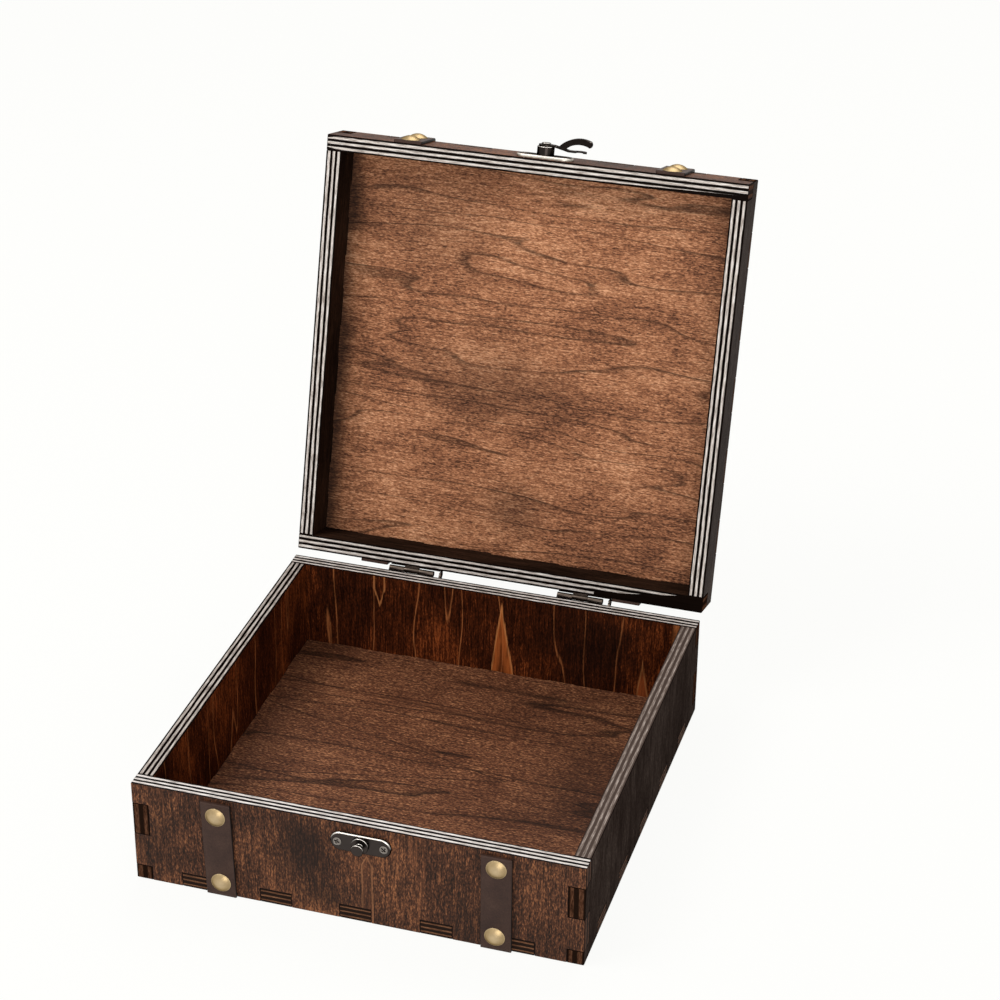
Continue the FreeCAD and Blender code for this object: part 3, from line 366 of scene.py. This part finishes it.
    # fibres and flecks stand up from the faces and pores sink in, and pale plies stand proud of the glue
    relief = add(tree, "Math MULTIPLY_ADD", noise["fibres"], 0.8, add(tree, "Math MULTIPLY", pored, -0.4))
    relief = add(tree, "Math MULTIPLY_ADD", noise["flecks"], 0.5, relief)
    relief = add(tree, "Math MULTIPLY", relief, is_face)
    height = add(tree, "Math MULTIPLY_ADD", plies, add(tree, "Math SUBTRACT", 1.0, is_face), relief)
    bump = add(tree, "Bump", into={"Strength": 0.5, "Distance": 0.3 * MM, "Height": height})
    dull = add(tree, "Math MULTIPLY_ADD", is_face, -0.5, 1.0)
    skin = add(tree, "BsdfPrincipled", into={"Base Color": colour, "Roughness": dull, "IOR": 1.5,
                                             "Specular IOR Level": sheen, "Normal": bump})
    tree.links.new(skin, surface)
    return finish


def softened(node, body, finish, ease, segments=1):
    """A copy of a solid with its points merged, its flat faces made whole and its edges eased."""
    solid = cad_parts[node]
    work = bmesh.new()
    work.from_mesh(solid.data)
    work.transform(solid.matrix_world)
    bmesh.ops.remove_doubles(work, verts=work.verts, dist=1e-6)
    bmesh.ops.dissolve_limit(work, angle_limit=math.radians(1.0), verts=work.verts, edges=work.edges)
    mesh = bpy.data.meshes.new(node + "_eased")
    work.to_mesh(mesh)
    work.free()
    mesh.materials.append(finish)
    piece = bpy.data.objects.new(node + "_eased", mesh)
    scene.collection.objects.link(piece)
    bevel = piece.modifiers.new("eased edges", "BEVEL")
    bevel.width = ease * MM
    bevel.segments = segments
    bevel.limit_method = "ANGLE"
    bevel.angle_limit = math.radians(30)
    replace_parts(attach(piece, body), node)
    return piece


# How each board was cut from the sheet: its grain, its thickness, its looks, and the marks in its faces.
# A heart is (middle, tip, slope, half, fill, share of fill, outline), a dark pool (place, reach, depth),
# with places and reaches across the grain and along it. The pools on the base's front are stain, those
# marked on the back wall and the panel are painted shade, and the rest only darken the wood there.
BOARDS = {
    "base_front": dict(
        grain="z", through="y", outer_at=-HALF, inner_at=-HALF + WALL, outer="front", inner="lining_in_shade",
        rim="+z", rim_look="bright",
        hearts=[(OUTER, (5.8, 43.5, 0.55, 3.0, "#573524", 0.4, "#8c5e3f"))],
        pools_of_stain_and_shade=[(OUTER, ((-30.0, 40.0), (26.0, 30.0), 0.75)), (OUTER, ((-18.0, 12.0), (26.0, 14.0), 0.7)),
               (OUTER, ((-112.0, 30.0), (18.0, 36.0), 0.4)), (OUTER, ((62.0, 12.0), (16.0, 22.0), 0.45))]),
    "base_back": dict(
        grain="z", through="y", outer_at=HALF, inner_at=HALF - WALL, outer="side", inner="inside",
        rim="+z", rim_look="worn", seed=3.0, sheen=0.0,
        hearts=[(INNER, (8.0, 54.0, 0.14, 6.6, "#a8592a", 0.8, "#c07a46")),
                (INNER, (-70.0, 43.0, -0.3, 3.2, "#421e0e", 0.0, "#a86b3f")),
                (INNER, (96.0, 31.0, 0.16, 3.5, "#a0522a", 0.7, "#a86b3f"))],
        # painted shade: the right of the back wall's inner face darkened as if in shadow
        pools_of_stain_and_shade=[(INNER, ((70.0, 40.0), (40.0, 40.0), 0.4))]),
    "base_left": dict(
        grain="z", through="x", outer_at=-HALF, inner_at=-HALF + WALL, outer="side", inner="inside",
        rim="+z", rim_look="dulled", seed=6.0, sheen=0.0),
    "base_right": dict(
        grain="z", through="x", outer_at=HALF, inner_at=HALF - WALL, outer="side", inner="lining_in_shade",
        rim="+z", rim_look="grey", seed=9.0, sheen=0.0),
    "base_bottom": dict(
        grain="x", through="z", outer_at=0.0, inner_at=BOTTOM, outer="under", inner="floor",
        rim="+z", rim_look="grey", end_look="floor", seed=12.0,
        hearts=[(INNER, (9.0, 43.0, 0.24, 60.0, "#764934", 0.0, "#190c07")),
                (INNER, (67.0, 34.0, 0.08, 4.0, "#714630", 0.2, "#190c07"))],
        pools_of_stain_and_shade=[(INNER, ((20.0, 100.0), (90.0, 60.0), 0.3))]),
    "lid_front": dict(
        grain="x", through="y", outer_at=-HALF, inner_at=-HALF + WALL, outer="front", inner="lining_in_shade",
        rim="-z", rim_look="worn", opened=True, seed=15.0, sheen=0.05),
    "lid_back": dict(
        grain="x", through="y", outer_at=HALF, inner_at=HALF - WALL, outer="side", inner="lining_in_shade",
        rim="-z", rim_look="worn", opened=True, seed=18.0, sheen=0.0),
    "lid_left": dict(
        grain="y", through="x", outer_at=-HALF, inner_at=-HALF + WALL, outer="side", inner="lining_in_shade",
        rim="-z", rim_look="worn", opened=True, seed=21.0, sheen=0.0),
    "lid_right": dict(
        grain="y", through="x", outer_at=HALF, inner_at=HALF - WALL, outer="side", inner="lining_in_shade",
        rim="-z", rim_look="worn", opened=True, seed=24.0, sheen=0.004),
    "lid_panel": dict(
        grain="x", through="z", outer_at=LID_TOP, inner_at=LID_TOP - PANEL, outer="front", inner="panel",
        rim="-z", rim_look="grey", end_look="floor", opened=True, seed=27.0,
        # painted shadow of the left wall in a narrow band along the panel's left edge, and painted shade
        # near the front wall's left end; the other two pools only darken the wood
        pools_of_stain_and_shade=[(INNER, ((0.0, -119.0), (600.0, 11.0), 0.75)), (INNER, ((10.0, -20.0), (34.0, 60.0), 0.35)),
               (INNER, ((88.0, 0.0), (22.0, 26.0), 0.4)), (INNER, ((-80.0, -60.0), (40.0, 60.0), 0.3))]),
}
# each board rides with the base or the lid, whichever its name begins with
for node, cut in BOARDS.items():
    part_of = node.split("_")[0]
    softened(node, part_of, stained_board(node + "_birch", **cut), EASED_EDGE)


# ---- The straps: dark brown leather -------------------------------------------------------------------
# Bands of 1.8 mm bridle leather, cut square, their edges stained near black. The short ones stand on the
# front and back of the base; the long ones run up the front of the lid, over its top and down its back.
STRAP_WIDTH = 17.0
LEATHER = 1.8
# the left front strap stands at FRONT_LEFT by its head, and its foot leans to the right
FRONT_LEFT, FRONT_RIGHT = -78.0, 79.1
STRAP_LEAN = 1.5
STRAP_PAIR = (-77.3, 80.7)
STRAP_FOOT = 0.4
STRAP_DROP = 2.5
LID_STRAP_END = 0.5
STRAP_EDGE = 0.4
STRAP_STEPS = 56
SQUARENESS = 40
# the leather lies a hair off the wood and is a hair thinner on either side, so that nothing flickers
OFF_WOOD = 0.02
SHAVED = 0.03


def lifted(points):
    """Points given for the closed lid, turned about the hinge pin to where the open lid has them."""
    y, z = points[..., 1] - PIVOT[1], points[..., 2] - PIVOT[2]
    return np.stack([points[..., 0], y * math.cos(OPEN) + z * math.sin(OPEN) + PIVOT[1],
                     -y * math.sin(OPEN) + z * math.cos(OPEN) + PIVOT[2]], axis=-1)


def strap(path, centre):
    """A band carried along a path in the YZ plane: at each station a rectangle with rounded corners stands
    across the path, about its own centre in X, and at both ends it shrinks to its middle to close."""
    path = np.array(path)
    tangent = np.gradient(path, axis=0)
    tangent /= np.linalg.norm(tangent, axis=1)[:, None]
    out = np.stack([tangent[:, 1], -tangent[:, 0]], axis=1)
    angle = np.linspace(0, 2 * math.pi, STRAP_STEPS, endpoint=False)
    half = np.array([STRAP_WIDTH / 2, LEATHER / 2 - SHAVED])
    ring = np.stack([np.cos(angle), np.sin(angle)], axis=1)
    corner = np.clip(ring * SQUARENESS, -1, 1) * (half - STRAP_EDGE) + ring * STRAP_EDGE
    grid = np.empty((len(path), len(angle), 3))
    grid[..., 0] = np.broadcast_to(centre, len(path))[:, None] + corner[None, :, 0]
    grid[..., 1] = path[:, :1] + out[:, :1] * corner[None, :, 1]
    grid[..., 2] = path[:, 1:] + out[:, 1:] * corner[None, :, 1]
    first, last = grid[:1].mean(axis=1, keepdims=True), grid[-1:].mean(axis=1, keepdims=True)
    return np.concatenate([first + 0 * grid[:1], first * 0.1 + grid[:1] * 0.9, grid,
                           last * 0.1 + grid[-1:] * 0.9, last + 0 * grid[-1:]])


# Bridle leather, waxed and buffed: a matt brown that mottles slowly, with a fine grain and near-black cut
# edges. The real grain is about 0.3 mm, and is drawn at 0.8 mm so that it shows.
leather, tree, surface = new_finish("bridle_leather")
place = add(tree, "TexCoord", give=None)
spot = add(tree, "Mapping", into={"Vector": place["Object"], "Scale": (1 / MM, 1 / MM, 1 / MM)})
slow = add(tree, "TexNoise", into={"Vector": spot, "Scale": 0.09, "Detail": 3.0, "Roughness": 0.55})
grain = add(tree, "TexNoise", into={"Vector": spot, "Scale": 1.3, "Detail": 1.0})
tone = add(tree, "Math MULTIPLY_ADD", grain, 0.35, add(tree, "Math MULTIPLY", slow, 0.65))
hide = add(tree, "ValToRGB", tone, stops=[(0.3, "#2b1a14"), (0.5, "#37241c"), (0.7, "#432f26")])
aside = add(tree, "Math ABSOLUTE", add(tree, "SeparateXYZ", place["Normal"]))
rim = add(tree, "ValToRGB", aside, stops=[(0.3, 0.0), (0.7, 1.0)])
hide = add(tree, "Mix", into={0: rim, 6: hide, 7: shade("#170f0c")}, data_type="RGBA", give=2)
bump = add(tree, "Bump", into={"Strength": 0.15, "Distance": 0.2 * MM, "Height": grain})
skin = add(tree, "BsdfPrincipled", into={"Base Color": hide, "Roughness": 0.55, "Specular IOR Level": 0.22,
                                         "Normal": bump})
tree.links.new(skin, surface)

OUT = HALF + LEATHER / 2 + OFF_WOOD
rise = np.linspace(STRAP_FOOT, BASE_HEIGHT - STRAP_DROP, 40)
lean = STRAP_LEAN * np.linspace(1, 0, len(rise))
for name, centre, side in (
    ("base_strap_front_left", (lean + FRONT_LEFT)[::-1], -1), ("base_strap_front_right", FRONT_RIGHT, -1),
    ("base_strap_back_left", STRAP_PAIR[0], 1), ("base_strap_back_right", STRAP_PAIR[1], 1),
):
    path = np.stack([side * OUT + 0 * rise, rise], axis=1)[::side]
    band = sheet_mesh(name + "_hide", [(strap(path, centre), True)])
    band.data.materials.append(leather)
    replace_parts(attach(band, "base"), name)

bend = np.linspace(0, math.pi / 2, 9)
turn_in = LEATHER / 2 + OFF_WOOD
up = np.linspace(LID_RIM + LID_STRAP_END, LID_TOP, 14)
over = np.linspace(-HALF, HALF, 60)
path = np.concatenate([
    np.stack([-OUT + 0 * up, up], axis=1),
    np.stack([-HALF - turn_in * np.cos(bend), LID_TOP + turn_in * np.sin(bend)], axis=1)[1:],
    np.stack([over, LID_TOP + turn_in + 0 * over], axis=1)[1:-1],
    np.stack([HALF + turn_in * np.sin(bend), LID_TOP + turn_in * np.cos(bend)], axis=1),
    np.stack([OUT + 0 * up, up[::-1]], axis=1)[1:],
])
for name, centre in zip(("lid_strap_left", "lid_strap_right"), STRAP_PAIR):
    band = sheet_mesh(name + "_hide", [(lifted(strap(path[::-1], centre)), True)])
    band.data.materials.append(leather)
    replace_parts(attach(band, "lid"), name)


# ---- The rivets: brass -------------------------------------------------------------------------------
# Upholstery nails of 11.5 mm with a low dome pressed from brass sheet, its lip rolled under. They are
# driven through the leather. The lip is painted near black as shade against the leather, a pale ring above
# it is a painted highlight, and the rubbed crown is pale.
RIVET = 5.75
RIVET_RISE = 2.4
IN_BASE = (0.0, 1.0, 0.0)
IN_LID = (0.0, math.cos(OPEN), -math.sin(OPEN))


def metal(name, axis, by_slope, cloud_size, cloud_share, rough, lit_from=None):
    """Plated or washed metal. Its tone follows the slope of the surface against the piece's axis, 0 on the
    flanks and 1 on the face, which paints highlights on eased edges and shade under lips and in recesses,
    along with some wear; a cloudy noise breaks it up. Where lit_from is given, edges that face away from it
    get painted shade."""
    finish, tree, surface = new_finish(name)
    place = add(tree, "TexCoord", give=None)
    spot = add(tree, "Mapping", into={"Vector": place["Object"], "Scale": (1 / MM, 1 / MM, 1 / MM)})
    cloud = add(tree, "TexNoise", into={"Vector": spot, "Scale": 1 / cloud_size, "Detail": 3.0,
                                        "Roughness": 0.6})
    slope = add(tree, "VectorMath DOT_PRODUCT", place["Normal"], axis, give="Value")
    slope = add(tree, "Math ABSOLUTE", slope)
    tone = add(tree, "ValToRGB", slope, stops=by_slope)
    if lit_from:
        facing = add(tree, "VectorMath DOT_PRODUCT", place["Normal"], lit_from, give="Value")
        facing = add(tree, "Math MULTIPLY_ADD", facing, -0.5, 0.5)
        shaded = add(tree, "ValToRGB", facing, stops=[(0.2, 0.0), (0.48, 1.0)])
        shaded = add(tree, "Math MULTIPLY", shaded, add(tree, "Math LESS_THAN", slope, 0.97))
        tone = add(tree, "Mix", into={0: shaded, 6: tone, 7: shade(by_slope[0][1])},
                   data_type="RGBA", give=2)
    cloudy = add(tree, "Math MULTIPLY_ADD", cloud, cloud_share, 1.0 - cloud_share / 2)
    tone = add(tree, "Mix", into={0: 1.0, 6: tone, 7: cloudy}, data_type="RGBA", blend_type="MULTIPLY",
               give=2)
    dull = add(tree, "Math MULTIPLY_ADD", cloud, 0.16, rough - 0.08)
    skin = add(tree, "BsdfPrincipled", into={"Base Color": tone, "Metallic": 1.0, "Roughness": dull,
                                             "Specular Tint": shade("#7d7a78")})
    tree.links.new(skin, surface)
    return finish


def turned(profile, foot, axis, steps=48):
    """A solid of revolution: each (radius, height) of the profile swept round an axis from its foot. Both
    ends of the profile lie on the axis, so the surface closes."""
    profile = np.array(profile)
    axis = np.array(axis, float)
    first = np.cross(axis, [1.0, 0.0, 0.0])
    second = np.cross(axis, first)
    angle = np.linspace(0, 2 * math.pi, steps, endpoint=False)
    ring = np.cos(angle)[:, None] * first + np.sin(angle)[:, None] * second
    return np.array(foot) + profile[:, :1, None] * ring[None] + profile[:, 1:, None] * axis


# the crown is the cap of a ball, and the lip a quarter of an ellipse below it
ball = (RIVET**2 + RIVET_RISE**2) / (2 * RIVET_RISE)
sweep = np.linspace(0, math.asin(RIVET * 0.95 / ball), 16)
crown = np.stack([ball * np.sin(sweep), RIVET_RISE - ball + ball * np.cos(sweep)], axis=1)
roll = np.linspace(0.15, 1.0, 6) * math.pi / 2
lip = np.stack([RIVET * (0.95 + 0.05 * np.sin(roll)), crown[-1, 1] * np.cos(roll)], axis=1)
dome = np.concatenate([crown, lip, [[RIVET - 0.4, 0.03], [0.0, 0.03]]])
# brass: painted shade, near black, where the lip turns under against the leather, a painted highlight on the
# pale ring above it, and straw where the crown is rubbed
BRASS_SHADE_AND_HIGHLIGHT = [(0.0, "#1a130f"), (0.35, "#57462f"), (0.66, "#b9a482"), (0.78, "#a08a66"), (0.9, "#ab946f"),
          (1.0, "#bda783")]

# where each rivet is driven: its place across, the side of the box, and its height
FACE = HALF + LEATHER
ON_FRONT = [(FRONT_LEFT, -1, 52.0), (FRONT_LEFT + STRAP_LEAN, -1, 9.0),
            (FRONT_RIGHT, -1, 53.2), (FRONT_RIGHT - 0.6, -1, 9.0)]
for name, body, axis, spots in (
    ("base_rivets_front", "base", IN_BASE, ON_FRONT),
    ("base_rivets_back", "base", IN_BASE, [(x, 1, z) for x in STRAP_PAIR for z in (11.0, 52.0)]),
    ("lid_rivets_front", "lid", IN_LID, [(x, -1, LID_RIM + z) for x in STRAP_PAIR for z in (6.0, 20.5)]),
    ("lid_rivets_back", "lid", IN_LID, [(x, 1, LID_RIM + 13.5) for x in STRAP_PAIR]),
):
    grids = [turned(dome, (x, side * FACE, z), (0, side, 0)) for x, side, z in spots]
    heads = sheet_mesh(name + "_domes", [(lifted(grid) if body == "lid" else grid, True) for grid in grids])
    heads.data.materials.append(metal(name + "_brass_with_painted_shade", axis, BRASS_SHADE_AND_HIGHLIGHT, 2.4, 0.35, 0.4))
    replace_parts(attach(heads, body), name)


# ---- The catch and the latch: dark plated zinc ---------------------------------------------------------
# Round-ended plates hold a headed knob on the base and, on the lid, a post with a swinging hook. They are
# die-cast zinc plated gunmetal black, with a painted highlight along their upper eased edges.
LATCH_X = 4.2
PLATE = 1.7
CATCH_HEIGHT = 52.0
LATCH_HEIGHT = LID_RIM + 9.0
UP = (0.0, 0.0, 1.0)
# Gunmetal plating: near black on faces and flanks, with a painted highlight along the eased edges, and on
# the catch painted shade on the edges that do not face up. The latch's plate has a pale painted reflection
# round its flanks too, and the hook painted glints only along its sharpest edges.
GUNMETAL_EDGE_HIGHLIGHT = [(0.0, "#1c1816"), (0.2, "#2a2523"), (0.45, "#e4dcd2"), (0.85, "#efe8df"), (0.96, "#46403c"),
          (1.0, "#3e3835")]
PLATE_FLANK_SHEEN = [(0.0, "#b5aea3"), (0.2, "#c4bdb2"), *GUNMETAL_EDGE_HIGHLIGHT[2:]]
HOOK_GLINTS = [(0.0, "#211c19"), (0.5, "#3a342f"), (0.75, "#efe6dc"), (1.0, "#3a3430")]
plating = {
    "base": metal("catch_gunmetal", IN_BASE, GUNMETAL_EDGE_HIGHLIGHT, 3.0, 0.3, 0.3, UP),
    "lid": metal("latch_gunmetal", IN_LID, [(0.0, "#2b2623"), *GUNMETAL_EDGE_HIGHLIGHT[1:]], 3.0, 0.3, 0.22),
    "flank_sheen": metal("latch_plate_painted_sheen", IN_LID, PLATE_FLANK_SHEEN, 4.0, 0.9, 0.4),
    "hook": metal("hook_gunmetal", IN_LID, HOOK_GLINTS, 2.0, 0.9, 0.2),
}
softened("catch_plate", "base", plating["base"], 0.12)
softened("latch_plate", "lid", plating["flank_sheen"], 0.12)
softened("latch_hook", "hook", plating["hook"], 0.25, 2)


def eased(corners, radius=0.3):
    """A turned profile whose outer corners are rounded: each corner becomes an arc of five points."""
    corners = np.array(corners, float)
    rows = [corners[0]]
    for before, corner, after in zip(corners, corners[1:], corners[2:]):
        to, fro = before - corner, after - corner
        reach = min(radius, 0.45 * np.linalg.norm(to), 0.45 * np.linalg.norm(fro))
        start, end = corner + to / np.linalg.norm(to) * reach, corner + fro / np.linalg.norm(fro) * reach
        t = np.linspace(0, 1, 5)[:, None]
        rows.extend((1 - t) ** 2 * start + 2 * t * (1 - t) * corner + t**2 * end)
    rows.append(corners[-1])
    return np.array(rows)


# each turning as (radius, height) from the wood: a head, a neck and a collar on the plate
knob = eased([(0, 7.25), (3.5, 7.25), (3.5, 6.25), (1.7, 6.25), (1.7, 3.1), (4.85, 3.1), (4.85, PLATE),
              (0, PLATE)], 0.4)
knob = turned(knob, (LATCH_X, -HALF, CATCH_HEIGHT), (0, -1, 0), 64)
head = sheet_mesh("catch_knob_turning", [(knob, True)])
head.data.materials.append(plating["base"])
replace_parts(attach(head, "base"), "catch_knob")

post = eased([(0, 9.0), (2.7, 9.0), (2.7, 8.2), (1.65, 8.2), (1.65, 6.9), (5.1, 6.9), (5.1, PLATE),
              (0, PLATE)], 0.35)
post = lifted(turned(post, (LATCH_X, -HALF, LATCH_HEIGHT), (0, -1, 0), 64))
stud = sheet_mesh("latch_post_turning", [(post, True)])
stud.data.materials.append(plating["lid"])
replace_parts(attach(stud, "lid"), "latch_post")


# ---- The screws: blackened steel ----------------------------------------------------------------------
# Cross-head wood screws fix the plates and the hinge leaves. Their heads are cold-forged and blackened;
# the driver has rubbed the crown bright, and the cross is painted black as shade in its recess.
SCREW = 2.35
SCREW_RISE = 0.5
SCREW_REACH = 13.0


def screw_head(radius, rise, foot, axis, tilt):
    """A domed head with a cross, on a grid of radius and angle. The height is a cap that falls by 0.85 of
    its rise, less a V-shaped pit along either arm of the cross, 0.4 of the radius deep, 0.2 of it wide on
    either side and 0.66 of it long. A short skirt closes to the axis below."""
    angle = np.linspace(0, 2 * math.pi, 96, endpoint=False)
    reach = np.linspace(0, 1, 32) * radius
    r, a = np.meshgrid(reach, angle, indexing="ij")
    u, v = r * np.cos(a + tilt), r * np.sin(a + tilt)
    arm = np.minimum(np.abs(u), np.abs(v))
    long = np.maximum(np.abs(u), np.abs(v))
    wide, end = 0.2 * radius, 0.66 * radius
    pit = np.clip((wide - arm) / wide, 0, 1) * np.clip((end - long) / (0.1 * radius), 0, 1)
    height = rise * (1 - (r / radius) ** 2 * 0.85) - pit * 0.4 * radius
    axis = np.array(axis, float)
    first = np.cross(axis, [1.0, 0.0, 0.0])
    second = np.cross(axis, first)
    top = (np.array(foot) + (r * np.cos(a))[..., None] * first + (r * np.sin(a))[..., None] * second
           + height[..., None] * axis)
    skirt = top[-1:] - axis * (rise * 0.15 + 0.25)
    return np.concatenate([top, skirt, skirt.mean(axis=1, keepdims=True) + 0 * skirt])


# blackened steel: painted shade, black, down in the cross, and grey bare steel where the driver has rubbed
# the crown
STEEL_CROWN_AND_SHADED_CROSS = [(0.0, "#0e0b0a"), (0.72, "#15110f"), (0.86, "#6d655f"), (1.0, "#8d857e")]
for name, body, axis, height, tilts in (
    ("catch_screws", "base", IN_BASE, CATCH_HEIGHT, (0.35, 0.75)),
    ("latch_screws", "lid", IN_LID, LATCH_HEIGHT, (0.2, 0.6)),
):
    grids = [screw_head(SCREW, SCREW_RISE, (LATCH_X + x, -HALF - PLATE, height), (0, -1, 0), tilt)
             for x, tilt in zip((-SCREW_REACH, SCREW_REACH), tilts)]
    heads = sheet_mesh(name + "_heads", [(lifted(grid) if body == "lid" else grid, True) for grid in grids])
    heads.data.materials.append(metal(name + "_steel", axis, STEEL_CROWN_AND_SHADED_CROSS, 1.5, 0.3, 0.34))
    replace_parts(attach(heads, body), name)


# ---- The hinges: bronzed steel ------------------------------------------------------------------------
# Two small stop hinges, stamped from 1.2 mm steel and bronzed nearly black: leaves screwed to the back
# walls, knuckles rolled round a pin, and a lug at the barrel's end on which the open lid rests.
HINGE_X = 53.0
LEAF = 1.2
LEAF_SCREW = 2.0
LEAF_SCREW_RISE = 0.9
LEAF_SCREW_REACH = 9.0
OFF_PIN = 8.5
# bronzed steel: brown-black with a satin skin, with a paler, warmer painted highlight along the eased
# stamped edges
BRONZED_LIT_EDGES = [(0.0, "#1c1613"), (0.3, "#241d19"), (0.5, "#6e6258"), (0.75, "#574c44"), (0.95, "#2b2420"),
           (1.0, "#29221e")]
for side in ("left", "right"):
    softened(f"hinge_{side}_base_leaf", "base",
             metal(f"hinge_{side}_base_bronze", IN_BASE, BRONZED_LIT_EDGES, 2.0, 0.4, 0.34), 0.12)
    softened(f"hinge_{side}_lid_leaf", "lid",
             metal(f"hinge_{side}_lid_bronze", IN_LID, BRONZED_LIT_EDGES, 2.0, 0.4, 0.34), 0.12)
    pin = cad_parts[f"hinge_{side}_pin"]
    pin.data.materials.clear()
    pin.data.materials.append(metal(f"hinge_{side}_pin_bronze", IN_BASE, BRONZED_LIT_EDGES, 2.0, 0.4, 0.34))

for name, body, axis, height in (
    ("hinge_base_screws", "base", IN_BASE, PIVOT[2] - OFF_PIN),
    ("hinge_lid_screws", "lid", IN_LID, PIVOT[2] + OFF_PIN),
):
    grids = [screw_head(LEAF_SCREW, LEAF_SCREW_RISE, (hinge + x, HALF + LEAF, height), (0, 1, 0), hinge + x)
             for hinge in (-HINGE_X, HINGE_X) for x in (-LEAF_SCREW_REACH, LEAF_SCREW_REACH)]
    heads = sheet_mesh(name + "_heads", [(lifted(grid) if body == "lid" else grid, True) for grid in grids])
    heads.data.materials.append(metal(name + "_bronze", axis, BRONZED_LIT_EDGES, 1.5, 0.3, 0.34))
    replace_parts(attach(heads, body), name)
